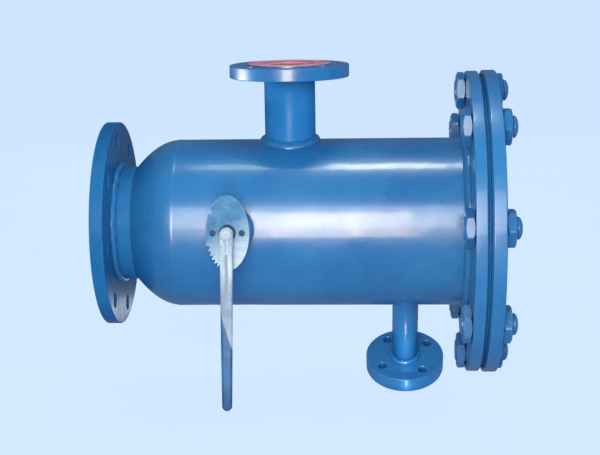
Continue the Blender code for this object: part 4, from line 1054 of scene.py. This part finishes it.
# ---------------------------------------------------------------- floor and light
FLOOR_Z = cad_low.z - 0.002
f = Finish("pale_floor", (0.05, 0.06, 0.075), 0.9, specular=0.02)
f.bsdf.inputs["Emission Color"].default_value = (0.608, 0.763, 0.970, 1.0)
seen = f.node("ShaderNodeLightPath")
bright = f.maths("SUBTRACT", f.level(seen.outputs["Is Camera Ray"], 0.0, 1.0, 0.76, 1.0),
                 f.level(seen.outputs["Is Glossy Ray"], 0.0, 1.0, 0.0, 0.52))
f.join(bright, f.bsdf.inputs["Emission Strength"])
f.give(f.mix(f.level(f.noise(3.0, 2.0), 0.3, 0.7), (0.045, 0.056, 0.070), (0.055, 0.066, 0.080)))
bm = bmesh.new()
bmesh.ops.create_circle(bm, cap_ends=True, segments=96, radius=90.0,
                        matrix=Matrix.Translation((0.28, 0, FLOOR_Z)))
floor_mesh = as_mesh(bm, "floor")
floor_mesh.materials.append(f.mat)
floor = bpy.data.objects.new("floor", floor_mesh)
bpy.context.scene.collection.objects.link(floor)
floor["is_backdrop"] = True

world = bpy.data.worlds.new("studio")
world.use_nodes = True
tree = world.node_tree
sky = tree.nodes["Background"]
sky.inputs["Color"].default_value = (0.62, 0.78, 1.0, 1.0)
sky.inputs["Strength"].default_value = 0.38
backdrop = tree.nodes.new("ShaderNodeBackground")
backdrop.inputs["Color"].default_value = (0.638, 0.799, 1.0, 1.0)
backdrop.inputs["Strength"].default_value = 1.0
ray, both = tree.nodes.new("ShaderNodeLightPath"), tree.nodes.new("ShaderNodeMixShader")
dim = tree.nodes.new("ShaderNodeMapRange")
dim.inputs["To Min"].default_value, dim.inputs["To Max"].default_value = 0.38, 0.20
tree.links.new(ray.outputs["Is Glossy Ray"], dim.inputs["Value"])
tree.links.new(dim.outputs["Result"], sky.inputs["Strength"])
tree.links.new(ray.outputs["Is Camera Ray"], both.inputs[0])
tree.links.new(sky.outputs[0], both.inputs[1])
tree.links.new(backdrop.outputs[0], both.inputs[2])
tree.links.new(both.outputs[0], tree.nodes["World Output"].inputs[0])
bpy.context.scene.world = world


def softbox(name, at, toward, size_x, size_y, power, color=(1, 1, 1), roll=0.0, spread=math.pi,
            mirrored=True):
    data = bpy.data.lights.new(name, "AREA")
    data.shape, data.size, data.size_y = "RECTANGLE", size_x, size_y
    data.energy, data.color, data.spread = power, color, spread
    lamp = bpy.data.objects.new(name, data)
    lamp.visible_camera = False
    lamp.visible_glossy = mirrored
    bpy.context.scene.collection.objects.link(lamp)
    direction = Vector(toward) - Vector(at)
    lamp.matrix_world = (Matrix.Translation(at) @ direction.to_track_quat("-Z", "Y").to_matrix().to_4x4()
                         @ Matrix.Rotation(roll, 4, "Z"))
    return lamp


softbox("key_front", (0.24, -1.5, 0.205), (0.24, 0.0, 0.205), 0.44, 0.89, 21.5, (1.0, 0.82, 0.60))
softbox("key_wide", (0.18, -2.3, 0.75), (0.18, 0.0, 0.50), 1.5, 1.3, 36.0, (0.92, 0.97, 1.0))
softbox("fill_right", (2.3, -0.6, 0.9), (0.4, 0.0, 0.0), 1.4, 1.2, 24.0, (0.85, 0.93, 1.0),
        mirrored=False)
softbox("fill_back", (0.0, 2.4, 1.2), (0.25, 0.0, 0.0), 1.6, 1.2, 22.0, (0.85, 0.93, 1.0),
        mirrored=False)
softbox("streak_pipe", (0.4245, 0.0520, FLOOR_Z + 0.0530), (0.4245, 0.9720, FLOOR_Z + 0.4430), 0.004,
        0.036, 0.0085, (1.0, 0.88, 0.74))
softbox("streak_rim", (0.4245, 0.0430, FLOOR_Z + 0.0090), (0.4245, 0.9630, FLOOR_Z + 0.3990), 0.004,
        0.018, 0.0030, (1.0, 0.88, 0.74))
softbox("strip_top", (0.42, -0.04, 1.35), (0.42, -0.04, 0.0), 0.28, 0.20, 4.6, (0.95, 1.0, 0.9))
softbox("strip_top_far", (0.12, -0.04, 1.35), (0.12, -0.04, 0.0), 0.32, 0.20, 1.6, (0.8, 1.0, 0.95))
softbox("card_left", (-1.1, 0.20, -0.03), (0.26, 0.0, 0.21), 1.10, 0.09, 1.3, spread=math.radians(34.0))
softbox("card_low", (0.14, 0.40, -0.238), (0.14, 0.40, 1.0), 0.10, 0.16, 0.22, (0.85, 0.95, 1.0))

# ---------------------------------------------------------------- camera
camera_data = bpy.data.cameras.new("camera")
camera_data.sensor_width = 36.0
camera_data.lens = 79.15
camera_data.clip_start, camera_data.clip_end = 0.05, 300.0
camera = bpy.data.objects.new("camera", camera_data)
bpy.context.scene.collection.objects.link(camera)
eye, aim = Vector((0.37740, -1.82233, 0.36795)), Vector((0.27623, -0.06230, 0.00457))
camera.matrix_world = (Matrix.Translation(eye) @ (aim - eye).to_track_quat("-Z", "Y").to_matrix().to_4x4()
                       @ Matrix.Rotation(math.radians(-0.939), 4, "Z"))
bpy.context.scene.camera = camera
bpy.context.scene.view_settings.view_transform = "Standard"
bpy.context.scene.view_settings.look = "None"

low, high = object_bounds()
